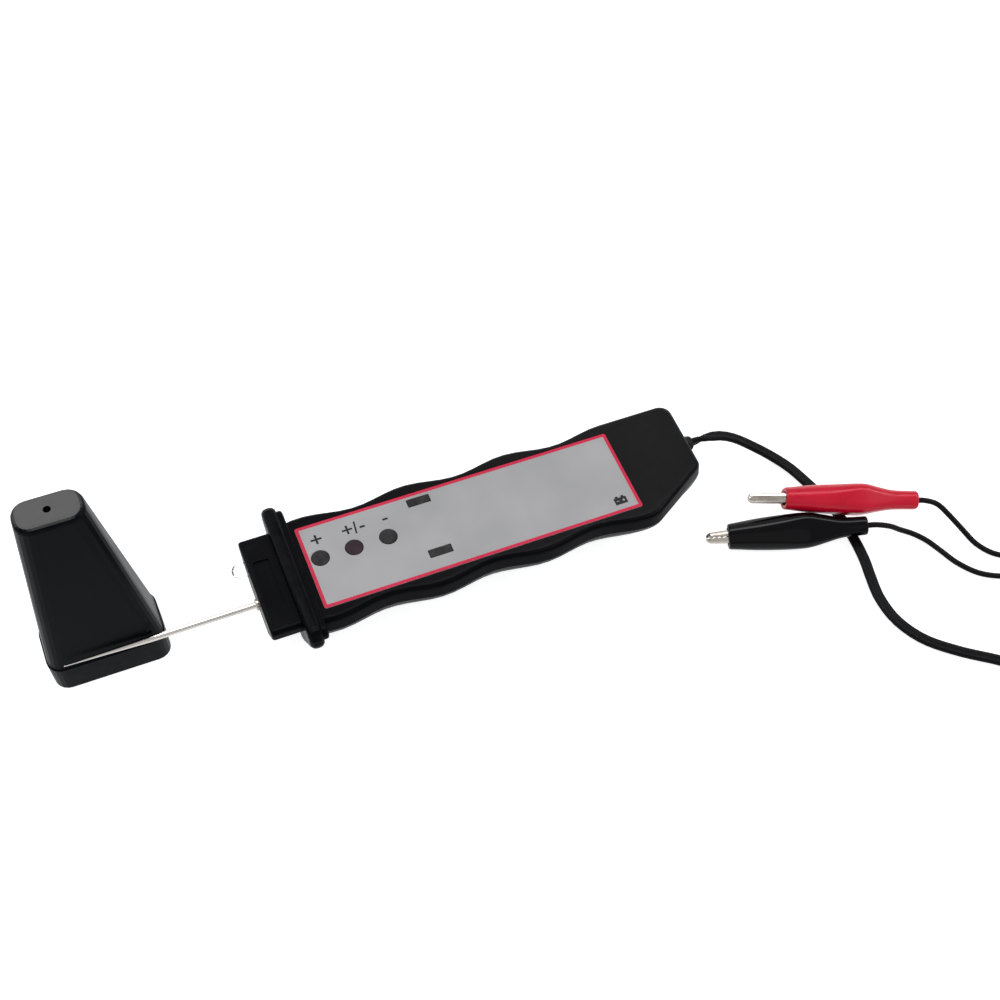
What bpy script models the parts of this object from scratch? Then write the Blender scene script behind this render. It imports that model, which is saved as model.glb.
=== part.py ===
"""Polarity tester pen with its needle cap, cable and two crocodile clips, for Blender 4.5.

Units are metres, +Z is up. The pen lies on its back with the needle pointing along -X, and the
origin is on the flat of the back, 60 mm behind the front face of the finger guard.
"""

import math

import bmesh
import bpy
from mathutils import Matrix, Vector

MM = 0.001

# Fits
GAP = 0.3 * MM  # between pieces that touch
THIN_GAP = 0.2 * MM  # under the label and round the lenses
FLOOR = 0.1 * MM  # soft pieces stay this far above the table

# Housing, seen from above
FRONT = -60 * MM  # x of the finger guard's front face
HOUSING_LENGTH = 127 * MM  # from the guard's front face to the tail
HALF_WIDTH = 17.5 * MM
GRIP_WAVE = 1.1 * MM  # the finger waves stand this far in and out
GRIP_PITCH = 31.5 * MM
FIRST_PEAK = 9.75 * MM  # behind the guard's front face
GRIP_WAVES = 3
TAIL_CORNER = 3.6 * MM
CHAMFER_LENGTH = 19.5 * MM  # along the tail's cut corner
CHAMFER_WIDTH = 12.3 * MM

# Housing, seen from the side
HEIGHT = 20 * MM
PARTING = 10 * MM  # height of the joint line between the shells
EDGE = 1.8 * MM  # rounding along the top face
DRAFT = 0.35 * MM
WAIST = 15 * MM  # below this height the sides run in towards the flat back
BACK_INSET = 9.5 * MM
BACK_CURVE = 1.35  # 1 would be a straight slope
TAIL_SHARE = 0.15  # the tail slopes this much of what the sides do
WALL = 1.8 * MM

# Finger guard and nose
GUARD_THICK = 5.9 * MM
GUARD_LIP = 4.3 * MM  # thickness of the full-size front layer
GUARD_STEP = 1.7 * MM  # the rear layer is this much smaller all round
GUARD_EDGE = 1.7 * MM
NOSE_LENGTH = 8.9 * MM
NOSE_EDGE = 0.8 * MM
# Sections: half width, half width of the foot, waist, bottom, top and corner radius
GUARD_SECTION = (23.8 * MM, 11 * MM, 17.2 * MM, 0.3 * MM, 22.8 * MM, 4.1 * MM)
NOSE_SECTION = (16.4 * MM, 9 * MM, 16 * MM, 6.5 * MM, 19.5 * MM, 1.5 * MM)
NOSE_POCKET = (4.6 * MM, 15.5 * MM, 0.45 * MM)  # length, width and depth of the catch pocket

# Label and its windows
LABEL_START = 7.2 * MM  # behind the guard's front face
LABEL_BARE = 23 * MM  # bare housing behind it
LABEL_LENGTH = HOUSING_LENGTH - LABEL_START - LABEL_BARE
LABEL_HALF = 14 * MM
LABEL_THICK = 0.3 * MM
LABEL_CORNER = 0.6 * MM
LAMP_PLACES = (11.2 * MM, 21.2 * MM, 31.4 * MM)
LAMP_NAMES = ("positive", "pulse", "negative")
LAMP_SIDE = 2.2 * MM
LAMP_WINDOW = 5.4 * MM
BAR_PLACE = 43.6 * MM
BAR_SIDES = {"upper": 10.8 * MM, "lower": -7.6 * MM}
BAR_WINDOW = (7.0 * MM, 2.8 * MM)
LENS_LIP = 0.7 * MM  # the hidden rim under the housing's top wall
LENS_DEPTH = 3.2 * MM
LENS_RIM_THICK = 1.1 * MM

# Needle and work light
NEEDLE_SIDE = -2.1 * MM
NEEDLE_HEIGHT = 13.5 * MM
NEEDLE_RADIUS = 0.95 * MM
NEEDLE_SHOWN = 54.8 * MM
NEEDLE_TAPER = 24 * MM
NEEDLE_INSIDE = 14.6 * MM
COLLAR_RADIUS = 1.7 * MM
COLLAR_PROUD = 0.9 * MM
LIGHT_SIDE = 9.35 * MM
LIGHT_HEIGHT = 14.9 * MM
LIGHT_RADIUS = 2.15 * MM
LIGHT_SHOWN = 4.2 * MM

# Circuit board and what stands on it
BOARD_START = -5 * MM
BOARD_NECK = 6.5 * MM  # in front of this it is a narrow tongue
BOARD_END = HOUSING_LENGTH - 16 * MM
BOARD_HALF = 11.4 * MM
TONGUE_HALF = 8.2 * MM
BOARD_THICK = 1.2 * MM
BOARD_BOTTOM = 9.5 * MM
BOARD_TOP = BOARD_BOTTOM + BOARD_THICK
REST = HOUSING_LENGTH - BAR_PLACE  # the pieces behind the bars share this length
RIB_PLACES = (14 * MM, BAR_PLACE + 0.15 * REST, BAR_PLACE + 0.65 * REST)
RIB_THICK = 1.6 * MM
LED_RADIUS = 2.5 * MM
SCREW_PLACES = ((BAR_PLACE + 0.27 * REST, 0.0), (HOUSING_LENGTH - 10 * MM, 0.0))
CHIPS = {  # place, side, half length, half width and height
    "controller_chip": (BAR_PLACE + 0.12 * REST, -1.5 * MM, 4.9 * MM, 3.0 * MM, 2.2 * MM),
    "driver_chip": (BAR_PLACE + 0.41 * REST, 3.5 * MM, 2.5 * MM, 2.0 * MM, 1.8 * MM),
}
CAPACITOR_PLACE = (BAR_PLACE + 0.65 * REST, -4 * MM)
RESISTOR_PLACES = (BAR_PLACE + 0.5 * REST, BAR_PLACE + 0.56 * REST)
RESISTOR_SIDES = (-5 * MM, 3.5 * MM)
SCREW_RADIUS = 1.1 * MM
SCREW_HEAD = 2.6 * MM
SCREW_HEAD_THICK = 2.0 * MM
BOSS_RADIUS = 3.3 * MM

# Needle cap, standing on its open end beside the needle
CAP_CENTRE = (-111.7 * MM, 7.3 * MM)
CAP_HEIGHT = 70 * MM
CAP_BAND = 10 * MM  # straight part at the open end
CAP_BASE = (33 * MM, 17.4 * MM)
CAP_TIP = (17.5 * MM, 10.2 * MM)
CAP_WALL = 1.4 * MM
CAP_END = 2.4 * MM
CAP_CORNER = 4.2 * MM
CAP_EDGE = 1.6 * MM
CAP_HOLE = 2.0 * MM

# Cable, coil and leads
CORD = 3.4 * MM  # width of the flat twin cable
CORD_LAYER = 2.0 * MM
LEAD = 1.7 * MM
RELIEF_SIDE = 8.0 * MM
RELIEF_HEIGHT = 10 * MM
RELIEF_LENGTH = 4.2 * MM
RELIEF_RADIUS = 3.1 * MM
RELIEF_COLLAR = 1.5 * MM  # thickness of the flange behind the tail wall
COIL_CENTRE = (164 * MM, -97 * MM)
COIL_RADIUS = 20 * MM  # to the middle of the turns
COIL_TURNS_WIDE = 2
COIL_LAYERS = 4
COIL_LIFT = 0.9 * MM
TIE_ANGLE = math.radians(75)
TIE_WIDTH = 6 * MM
TIE_THICK = 0.6 * MM
SPLITTER_START = (202 * MM, -60 * MM)
SPLITTER_LENGTH = 16 * MM
SPLITTER_HEIGHT = 2.5 * MM

TAIL = (FRONT + HOUSING_LENGTH) / MM  # the routes are in millimetres
CABLE_ROUTE = [
    (TAIL + 4.8, 8.0, 10.0), (TAIL + 9.5, 8.1, 10.0), (81.7, 7.8, 9.0), (86.6, 6.5, 6.9), (91.2, 3.9, 4.5),
    (96.2, -0.4, 2.4), (100.2, -6.8, 1.8), (102.8, -14.5, 1.8), (105.2, -22.5, 1.8), (106.2, -30.0, 1.8),
    (106.2, -38.0, 1.8), (105.6, -45.0, 1.8), (104.2, -52.0, 1.8), (103.2, -59.0, 1.8), (104.2, -67.5, 1.8),
    (108.6, -76.0, 1.8), (116.6, -83.5, 1.8), (125.8, -90.2, 1.8), (133.2, -97.0, 2.1), (139.5, -103.3, 2.5),
]
TAIL_ROUTE = [
    (189.2, -96.9, 7.0), (195.2, -88.4, 4.6), (203.0, -81.2, 2.8), (211.5, -75.5, 2.2), (217.3, -68.5, 2.1),
    (216.0, -62.3, 2.2), (210.0, -60.1, 2.4), (202.3, -60.0, 2.5),
]
RED_ROUTE = [  # from behind the boot
    (134.4, -37.6, 6.0), (137.0, -41.6, 4.0), (139.2, -46.6, 2.2), (141.2, -52.4, 1.1),
    (144.9, -57.6, 1.0), (151.0, -60.4, 1.0), (160.5, -60.2, 1.0), (172.0, -59.2, 1.2), (185.7, -59.1, 2.3),
]
BLACK_ROUTE = [
    (116.6, -39.5, 6.0), (120.2, -40.4, 3.5), (124.2, -42.2, 1.7), (127.4, -45.6, 1.0),
    (129.6, -50.4, 1.0), (132.4, -56.6, 1.0), (137.4, -62.4, 1.0), (145.4, -66.0, 1.0), (156.0, -66.2, 1.0),
    (167.5, -63.7, 1.0), (177.5, -61.4, 1.4), (185.7, -60.9, 2.3),
]

# Crocodile clips; each lies along its own +X, tip first, and opens along its own Z
BOOT_LENGTH = 42 * MM
BOOT_WALL = 0.8 * MM
BOOT_HOLLOW = 32 * MM
BOOT_SECTIONS = [  # distance from the mouth, width along the pin, height
    (0.0, 6.7, 7.8), (9.0, 8.2, 9.6), (16.8, 8.8, 10.6), (24.2, 9.0, 10.7),
    (28.8, 7.9, 9.2), (33.3, 6.1, 6.6), (37.2, 5.7, 5.8), (42.0, 5.6, 5.6),
]
JAW_REACH = 21.5 * MM  # pin to tip
JAW_GRIP = 9.5 * MM  # length of the teeth
JAW_TOOTH = 0.8 * MM  # half a tooth
JAW_BITE = 0.14 * MM  # half a tooth's height
JAW_HALF = 1.6 * MM
JAW_SHEET = 0.45 * MM
JAW_ROUND = 1.2 * MM  # length of the rounded tip
JAW_BACK = 1.1 * MM  # radius along the edges of its back
JAW_TIP_HEIGHT = 1.6 * MM
JAW_PIN_HEIGHT = 3.0 * MM
JAW_HANDLE = 12.4 * MM  # pin to the end of the handle
JAW_HANDLE_HEIGHT = 3.8 * MM
JAW_TONGUE = 15.6 * MM
PIN_RADIUS = 0.8 * MM
CLIPS = {  # middle of the whole clip, yaw, pitch and roll in degrees, jaw length shown
    "red": ((102.7 * MM, -26.6 * MM, 10.1 * MM), -18.3, 5.0, 27.0, 11.0 * MM),
    "black": ((86.1 * MM, -29.8 * MM, 5.6 * MM), -18.8, -5.2, -60.0, 6.6 * MM),
}


# Scene and materials


def clear_scene():
    for thing in list(bpy.data.objects):
        bpy.data.objects.remove(thing, do_unlink=True)
    for old in list(bpy.data.collections):
        bpy.data.collections.remove(old)


def new_collection(name):
    made = bpy.data.collections.new(name)
    bpy.context.scene.collection.children.link(made)
    return made


def new_material(name, colour, roughness, metallic=0.0, alpha=1.0):
    made = bpy.data.materials.new(name)
    made.use_nodes = True
    shader = made.node_tree.nodes["Principled BSDF"]
    shader.inputs["Base Color"].default_value = (*colour, 1.0)
    shader.inputs["Roughness"].default_value = roughness
    shader.inputs["Metallic"].default_value = metallic
    shader.inputs["Alpha"].default_value = alpha
    made.diffuse_color = (*colour, alpha)
    return made


clear_scene()
PARTS = new_collection("polarity_tester_pen")
CUTTERS = new_collection("cutters")
FINISH = {
    "housing": new_material("housing_black", (0.012, 0.012, 0.013), 0.42),
    "cap": new_material("cap_black", (0.014, 0.014, 0.015), 0.38),
    "label": new_material("label_film", (0.50, 0.50, 0.50), 0.35),
    "window": new_material("window_tint", (0.10, 0.10, 0.10), 0.2),
    "steel": new_material("polished_steel", (0.62, 0.60, 0.58), 0.18, 1.0),
    "nickel": new_material("nickel_plate", (0.66, 0.64, 0.60), 0.28, 1.0),
    "brass": new_material("brass", (0.72, 0.52, 0.22), 0.3, 1.0),
    "clear": new_material("clear_resin", (0.9, 0.92, 0.95), 0.08, 0.0, 0.4),
    "board": new_material("circuit_board", (0.03, 0.16, 0.07), 0.5),
    "chip": new_material("chip_black", (0.02, 0.02, 0.02), 0.5),
    "ceramic": new_material("resistor_tan", (0.55, 0.42, 0.26), 0.5),
    "red_lamp": new_material("red_lamp", (0.55, 0.03, 0.02), 0.2),
    "green_lamp": new_material("green_lamp", (0.03, 0.40, 0.06), 0.2),
    "cable": new_material("cable_black", (0.015, 0.015, 0.017), 0.5),
    "wire_red": new_material("wire_red", (0.5, 0.02, 0.02), 0.45),
    "boot_red": new_material("boot_red", (0.62, 0.01, 0.03), 0.25),
    "boot_black": new_material("boot_black", (0.012, 0.012, 0.014), 0.22),
    "tie": new_material("tie_black", (0.02, 0.02, 0.02), 0.7),
}


def add_object(name, mesh, finish, cutter=False):
    made = bpy.data.objects.new(name, mesh)
    (CUTTERS if cutter else PARTS).objects.link(made)
    if cutter:
        made.hide_render = True
        made.display_type = "WIRE"
    else:
        own = FINISH[finish].copy()
        own.name = name
        made.data.materials.append(own)
    return made


def shade(mesh, angle=35):
    mesh.shade_smooth()
    mesh.set_sharp_from_angle(angle=math.radians(angle))


# Shapes


def loft(name, rings, finish=None, cutter=False):
    """A closed solid through rings of equal point count, with flat ends."""
    shape = bmesh.new()
    rows = [[shape.verts.new(point) for point in ring] for ring in rings]
    count = len(rows[0])
    for low, high in zip(rows, rows[1:]):
        for i in range(count):
            after = (i + 1) % count
            shape.faces.new((low[i], low[after], high[after], high[i]))
    bmesh.ops.triangulate(shape, faces=shape.faces)
    shape.faces.new(rows[0])
    shape.faces.new(rows[-1])
    bmesh.ops.recalc_face_normals(shape, faces=shape.faces)
    mesh = bpy.data.meshes.new(name)
    shape.to_mesh(mesh)
    shape.free()
    shade(mesh)
    return add_object(name, mesh, finish, cutter)


def rounded_rectangle(half_u, half_v, corner, steps=4):
    """Points of a rectangle with round corners, about its middle."""
    points = []
    for quarter, (su, sv) in enumerate(((1, 1), (-1, 1), (-1, -1), (1, -1))):
        for step in range(steps + 1):
            angle = math.pi / 2 * (quarter + step / steps)
            points.append((
                su * (half_u - corner) + corner * math.cos(angle),
                sv * (half_v - corner) + corner * math.sin(angle),
            ))
    return points


def rounded_stations(start, end, edge, both=True, steps=3):
    """Positions along a block and how far its section is drawn in there, to round its ends."""
    arc = [math.pi / 2 * step / steps for step in range(steps + 1)]
    first = [(start + edge * (1 - math.cos(a)), edge * (1 - math.sin(a))) for a in arc]
    last = [(start + end - place, inset) for place, inset in reversed(first)]
    return first + (last if both else [(end, 0.0)])


def rounded_corner(before, corner, after, radius, steps=5):
    """Points of the arc that rounds a corner between two straight edges."""
    before, corner, after = Vector(before), Vector(corner), Vector(after)
    u, v = (before - corner).normalized(), (after - corner).normalized()
    half = math.acos(max(-1.0, min(1.0, u.dot(v)))) / 2
    reach = radius / math.tan(half)
    middle = corner + (u + v).normalized() * radius / math.sin(half)
    first, last = corner + u * reach - middle, corner + v * reach - middle
    turn = first.angle_signed(last)
    points = []
    for step in range(steps + 1):
        angle = -turn * step / steps
        points.append(middle + Matrix.Rotation(angle, 2) @ first)
    return [tuple(point) for point in points]


def rounded_polygon(sharp, radius, steps=4):
    """A polygon's points with every corner rounded."""
    points = []
    for index, place in enumerate(sharp):
        points += rounded_corner(sharp[index - 1], place, sharp[(index + 1) % len(sharp)], radius, steps)
    return points


def drawn_in(section, wall):
    """A cross section made smaller by `wall` all round."""
    half, foot, waist, low, top, corner = section
    slope = math.atan2(half - foot, waist - low)
    foot -= wall * math.tan(math.pi / 4 - slope / 2)
    waist += wall * math.tan(slope / 2)
    return half - wall, foot, waist, low + wall, top - wall, max(corner - wall, corner / 4)


def block_x(name, start, end, section, edge, both=True, **kind):
    """A block along X: upright sides down to the waist, then drawn in to the foot, with rounded ends."""
    rings = []
    for place, inset in rounded_stations(start, end, edge, both):
        half, foot, waist, low, top, corner = drawn_in(section, inset)
        sharp = [(half, top), (-half, top), (-half, waist), (-foot, low), (foot, low), (half, waist)]
        rings.append([(FRONT + place, y, z) for y, z in rounded_polygon(sharp, corner)])
    return loft(name, rings, **kind)


def block_z(name, centre, z_range, half_x, half_y, corner, edge=0.0, **kind):
    """A block along Z about a point given behind the guard's front face."""
    stations = [(z_range[0], 0.0), (z_range[1], 0.0)]
    if edge:
        stations = [(z_range[0], 0.0)] + [
            (z_range[0] + z_range[1] - place, inset)
            for place, inset in reversed(rounded_stations(*z_range, edge, both=False)[:-1])
        ]
    rings = []
    for height, inset in stations:
        outline = rounded_rectangle(half_x - inset, half_y - inset, max(corner - inset, corner / 4))
        rings.append([(FRONT + centre[0] + x, centre[1] + y, height) for x, y in outline])
    return loft(name, rings, **kind)


def turned(name, profile, place, along, finish=None, steps=24, cutter=False, ring=False):
    """A body turned about `along` through `place`; the profile runs from its far end to its near end."""
    mesh = bpy.data.meshes.new(name)
    edges = [(i, i + 1) for i in range(len(profile) - 1)]
    if ring:
        edges.append((len(profile) - 1, 0))
    mesh.from_pydata([(radius, 0.0, height) for radius, height in profile], edges, [])
    made = add_object(name, mesh, finish, cutter)
    made.location = place
    made.rotation_mode = "QUATERNION"
    made.rotation_quaternion = Vector(along).to_track_quat("Z", "Y")
    screw = made.modifiers.new("turn", "SCREW")
    screw.steps = steps
    screw.render_steps = steps
    screw.use_merge_vertices = True
    screw.merge_threshold = 1e-5
    screw.use_smooth_shade = True
    return made


def rod(name, place, along, radius, length, **kind):
    """A plain cylinder from `place`, `length` long."""
    return turned(name, [(0, length), (radius, length), (radius, 0), (0, 0)], place, along, **kind)


def tube(name, points, diameter, finish, resolution=2):
    """A round cord through the points, with filled ends."""
    curve = bpy.data.curves.new(name, "CURVE")
    curve.dimensions = "3D"
    spline = curve.splines.new("POLY")
    spline.points.add(len(points) - 1)
    for slot, point in zip(spline.points, points):
        slot.co = (*point, 1.0)
    curve.bevel_depth = diameter / 2
    curve.bevel_resolution = resolution
    curve.use_fill_caps = True
    return add_object(name, curve, finish)


def smooth_route(chosen, spacing):
    """Evenly spaced points on a smooth curve through the chosen points."""
    ends = [2 * chosen[0] - chosen[1], *chosen, 2 * chosen[-1] - chosen[-2]]
    dense = [chosen[0]]
    for a, b, c, d in zip(ends, ends[1:], ends[2:], ends[3:]):
        for step in range(1, 17):
            t = step / 16
            bend = (2 * a - 5 * b + 4 * c - d) * t * t + (3 * b - a - 3 * c + d) * t**3
            dense.append((2 * b + (c - a) * t + bend) / 2)
    lengths = [0.0]
    for before, after in zip(dense, dense[1:]):
        lengths.append(lengths[-1] + (after - before).length)
    count = max(2, round(lengths[-1] / spacing))
    found, place = [], 0
    for index in range(count + 1):
        wanted = lengths[-1] * index / count
        while place < len(lengths) - 2 and lengths[place + 1] < wanted:
            place += 1
        share = (wanted - lengths[place]) / (lengths[place + 1] - lengths[place])
        found.append(dense[place].lerp(dense[place + 1], min(share, 1.0)))
    return found


def route(points_mm, spacing):
    return smooth_route([Vector(point) * MM for point in points_mm], spacing)


def boolean(target, tool, operation="DIFFERENCE"):
    change = target.modifiers.new(tool.name, "BOOLEAN")
    change.operation = operation
    change.object = tool
    change.solver = "EXACT"


# Housing


def grip_half_width(place):
    """Half the width at a distance behind the guard; it stops waving at the last peak."""
    waving = min(place, FIRST_PEAK + GRIP_WAVES * GRIP_PITCH)
    return HALF_WIDTH + GRIP_WAVE * math.cos(2 * math.pi * (waving - FIRST_PEAK) / GRIP_PITCH)


def housing_outline(start):
    """The housing seen from above, from the guard round the tail and back, behind the guard's front."""
    tail = HOUSING_LENGTH
    side = grip_half_width(tail)
    cut = (tail - CHAMFER_LENGTH, -side)
    low = (tail, -side + CHAMFER_WIDTH)
    last = tail - TAIL_CORNER - 1.5 * MM
    count = 34
    waves = [start + (last - start) * i / count for i in range(count + 1)]
    points = [(x, grip_half_width(x)) for x in waves]
    points += rounded_corner((start, side), (tail, side), low, TAIL_CORNER)
    points += rounded_corner((tail, side), low, cut, TAIL_CORNER * 0.8)
    points += rounded_corner(low, cut, (start, -side), 8 * MM)
    before_cut = cut[0] - 4 * MM
    waves = [start + (before_cut - start) * i / (count - 4) for i in range(count - 3)]
    return points + [(x, -grip_half_width(x)) for x in reversed(waves)]


def housing_ring(level, start, wall=0.0):
    """The outline at a level, drawn in on every side but the guard's."""
    side, tail, height = level
    narrow = 1 - (side + wall) / HALF_WIDTH
    shorter = 1 - (tail + wall) / (HOUSING_LENGTH - start)
    return [
        (FRONT + start + (x - start) * shorter, y * narrow, height)
        for x, y in housing_outline(start)
    ]


def side_inset(height):
    """How far the sides have run in at a height below the waist."""
    return BACK_INSET * (1 - height / WAIST) ** BACK_CURVE


def housing_levels(steps=7):
    """Inset of the sides, inset of the tail and height, from the flat back over the rounded top edge."""
    levels = []
    for step in range(steps + 1):
        height = WAIST * step / steps
        levels.append((side_inset(height), TAIL_SHARE * side_inset(height), height))
    for step in range(5):
        angle = math.pi / 2 * step / 4
        inset = DRAFT + EDGE * (1 - math.cos(angle))
        levels.append((inset, inset, HEIGHT - EDGE + EDGE * math.sin(angle)))
    return levels


def half_space(name, above):
    """Everything on one side of the joint line, as a cutter."""
    reach = HOUSING_LENGTH
    z_range = (PARTING - GAP / 2, 3 * HEIGHT) if above else (-HEIGHT, PARTING + GAP / 2)
    return block_z(name, (reach / 2, 0.0), z_range, reach, reach, 1 * MM, cutter=True)


def guard_and_nose(shell):
    """The finger guard's two layers and the nose block, joined to the housing."""
    smaller = drawn_in(GUARD_SECTION, GUARD_STEP)
    middle = GUARD_LIP / 2
    name = shell.name
    for tool in (
        block_x(name + "_guard", 0.0, GUARD_LIP, GUARD_SECTION, GUARD_EDGE, cutter=True),
        block_x(name + "_guard_step", middle, GUARD_THICK, smaller, GUARD_EDGE / 2, cutter=True),
        block_x(name + "_nose", -NOSE_LENGTH, middle, NOSE_SECTION, NOSE_EDGE, both=False, cutter=True),
    ):
        boolean(shell, tool, "UNION")


def cavity(name):
    """The room inside the housing, 1.8 mm inside its outer surface."""
    start = GUARD_THICK - 1 * MM
    levels = [level for level in housing_levels() if WALL < level[2] < HEIGHT - EDGE]
    bottom = (side_inset(WALL), TAIL_SHARE * side_inset(WALL), WALL)
    top = (DRAFT, DRAFT, HEIGHT - WALL)
    rings = [housing_ring(level, start, WALL) for level in [bottom, *levels, top]]
    return loft(name, rings, cutter=True)


def nose_room(name):
    """The room inside the nose, open to the housing's."""
    room = drawn_in(NOSE_SECTION, WALL)
    return block_x(name, -NOSE_LENGTH + WALL, GUARD_THICK + 2 * MM, room, 0.2 * MM, cutter=True)


def shell_body(name, above):
    """One half of the housing, hollow and with its screw bosses, cut along the joint line."""
    rings = [housing_ring(level, GUARD_LIP) for level in housing_levels()]
    shell = loft(name, rings, "housing")
    guard_and_nose(shell)
    boolean(shell, cavity(name + "_cavity"))
    boolean(shell, nose_room(name + "_nose_room"))
    for index, (x, y) in enumerate(SCREW_PLACES):
        low = PARTING - WALL if above else WALL / 2
        length = (HEIGHT - WALL / 2 if above else PARTING + WALL) - low
        boss = rod(f"{name}_boss_{index}", (FRONT + x, y, low), (0, 0, 1), BOSS_RADIUS, length, cutter=True)
        boolean(shell, boss, "UNION")
    boolean(shell, half_space(name + "_other_half", not above))
    return shell


def cut_hole(shell, name, place, along, radius, length):
    boolean(shell, rod(name, place, along, radius, length, steps=20, cutter=True))


def relief_bore(shell):
    """The round hole through the tail wall that grips the cable's strain relief."""
    place = (FRONT + HOUSING_LENGTH - 2 * WALL, RELIEF_SIDE, RELIEF_HEIGHT)
    cut_hole(shell, shell.name + "_relief_bore", place, (1, 0, 0), 2.0 * MM + GAP, 3 * WALL)


def top_shell():
    shell = shell_body("top_shell", above=True)
    for index, (x, y) in enumerate(SCREW_PLACES):
        pilot = (FRONT + x, y, 0.0)
        cut_hole(shell, f"pilot_{index}", pilot, (0, 0, 1), SCREW_RADIUS + THIN_GAP, HEIGHT - 2 * WALL)
    recess = block_z(
        "label_recess", (LABEL_START + LABEL_LENGTH / 2, 0.0),
        (HEIGHT - LABEL_THICK - THIN_GAP, HEIGHT + 1 * MM),
        LABEL_LENGTH / 2 + THIN_GAP, LABEL_HALF + THIN_GAP, LABEL_CORNER, cutter=True,
    )
    boolean(shell, recess)
    for name, x in zip(LAMP_NAMES, LAMP_PLACES):
        place = (FRONT + x, LAMP_SIDE, HEIGHT / 2)
        cut_hole(shell, name + "_lamp_hole", place, (0, 0, 1), LAMP_WINDOW / 2, HEIGHT)
    for name, y in BAR_SIDES.items():
        hole = block_z(
            name + "_bar_hole", (BAR_PLACE, y), (HEIGHT / 2, HEIGHT + 1 * MM),
            BAR_WINDOW[0] / 2, BAR_WINDOW[1] / 2, 0.3 * MM, cutter=True,
        )
        boolean(shell, hole)
    front = FRONT - NOSE_LENGTH - 1 * MM
    for name, side, height, radius in (
        ("collar_hole", NEEDLE_SIDE, NEEDLE_HEIGHT, COLLAR_RADIUS),
        ("light_hole", LIGHT_SIDE, LIGHT_HEIGHT, LIGHT_RADIUS),
    ):
        cut_hole(shell, name, (front, side, height), (1, 0, 0), radius + GAP, 4 * MM)
    length, width, depth = NOSE_POCKET
    nose_top = NOSE_SECTION[4]
    pocket = block_z(
        "catch_pocket", (-NOSE_LENGTH / 2 - 0.2 * MM, 0.0), (nose_top - depth, nose_top + 1 * MM),
        length / 2, width / 2, 0.8 * MM, cutter=True,
    )
    boolean(shell, pocket)
    relief_bore(shell)
    return shell


def board_rib(name, x):
    """A rib that follows the sloping sides up to just under the board."""
    rings = []
    for step in range(5):
        height = WALL / 2 + (BOARD_BOTTOM - GAP - WALL / 2) * step / 4
        reach = grip_half_width(x) * (1 - (side_inset(height) + WALL / 2) / HALF_WIDTH)
        outline = rounded_rectangle(RIB_THICK / 2, min(reach, BOARD_HALF - 0.6 * MM), RIB_THICK / 4, steps=1)
        rings.append([(FRONT + x + u, v, height) for u, v in outline])
    return loft(name, rings, cutter=True)


def rear_shell():
    shell = shell_body("rear_shell", above=False)
    for index, x in enumerate(RIB_PLACES):
        boolean(shell, board_rib(f"board_rib_{index}", x), "UNION")
    head_room = SCREW_HEAD_THICK + 3 * GAP
    for index, (x, y) in enumerate(SCREW_PLACES):
        head, shank = SCREW_HEAD + GAP, SCREW_RADIUS + 1.5 * GAP
        profile = [
            (0, HEIGHT), (shank, HEIGHT), (shank, head_room), (head, head_room), (head, -WALL), (0, -WALL),
        ]
        room = turned(f"screw_room_{index}", profile, (FRONT + x, y, 0.0), (0, 0, 1), cutter=True)
        boolean(shell, room)
    relief_bore(shell)
    return shell


# Label, windows and lamps


def front_label():
    """The printed film, with openings for the three lamps and the two bars."""
    low = HEIGHT - LABEL_THICK
    label = block_z(
        "front_label", (LABEL_START + LABEL_LENGTH / 2, 0.0), (low, HEIGHT),
        LABEL_LENGTH / 2, LABEL_HALF, LABEL_CORNER, finish="label",
    )
    for name, x in zip(LAMP_NAMES, LAMP_PLACES):
        place = (FRONT + x, LAMP_SIDE, HEIGHT / 2)
        cut_hole(label, name + "_label_hole", place, (0, 0, 1), LAMP_WINDOW / 2, HEIGHT)
    for name, y in BAR_SIDES.items():
        hole = block_z(
            name + "_bar_label_hole", (BAR_PLACE, y), (HEIGHT / 2, HEIGHT + 1 * MM),
            BAR_WINDOW[0] / 2, BAR_WINDOW[1] / 2, 0.3 * MM, cutter=True,
        )
        boolean(label, hole)


def lamp_window(name, x):
    """A round tinted lens, flush with the label, held by a rim under the top wall."""
    radius = LAMP_WINDOW / 2 - THIN_GAP
    top = LENS_DEPTH
    rim = LENS_RIM_THICK
    foot = radius + LENS_LIP
    profile = [(0, top), (radius, top), (radius, rim), (foot, rim), (foot, 0), (0, 0)]
    place = (FRONT + x, LAMP_SIDE, HEIGHT - LENS_DEPTH)
    turned(name + "_window", profile, place, (0, 0, 1), "window")


def bar_window(name, y):
    """A small rectangular lens made the same way."""
    half_x, half_y = BAR_WINDOW[0] / 2 - THIN_GAP, BAR_WINDOW[1] / 2 - THIN_GAP
    bottom = HEIGHT - LENS_DEPTH
    stations = (
        (bottom, LENS_LIP), (bottom + LENS_RIM_THICK, LENS_LIP), (bottom + LENS_RIM_THICK, 0.0), (HEIGHT, 0.0)
    )
    rings = []
    for height, lip in stations:
        outline = rounded_rectangle(half_x + lip, half_y + lip, 0.3 * MM, steps=2)
        rings.append([(FRONT + BAR_PLACE + u, y + v, height) for u, v in outline])
    loft(name + "_bar_window", rings, "window")


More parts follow.
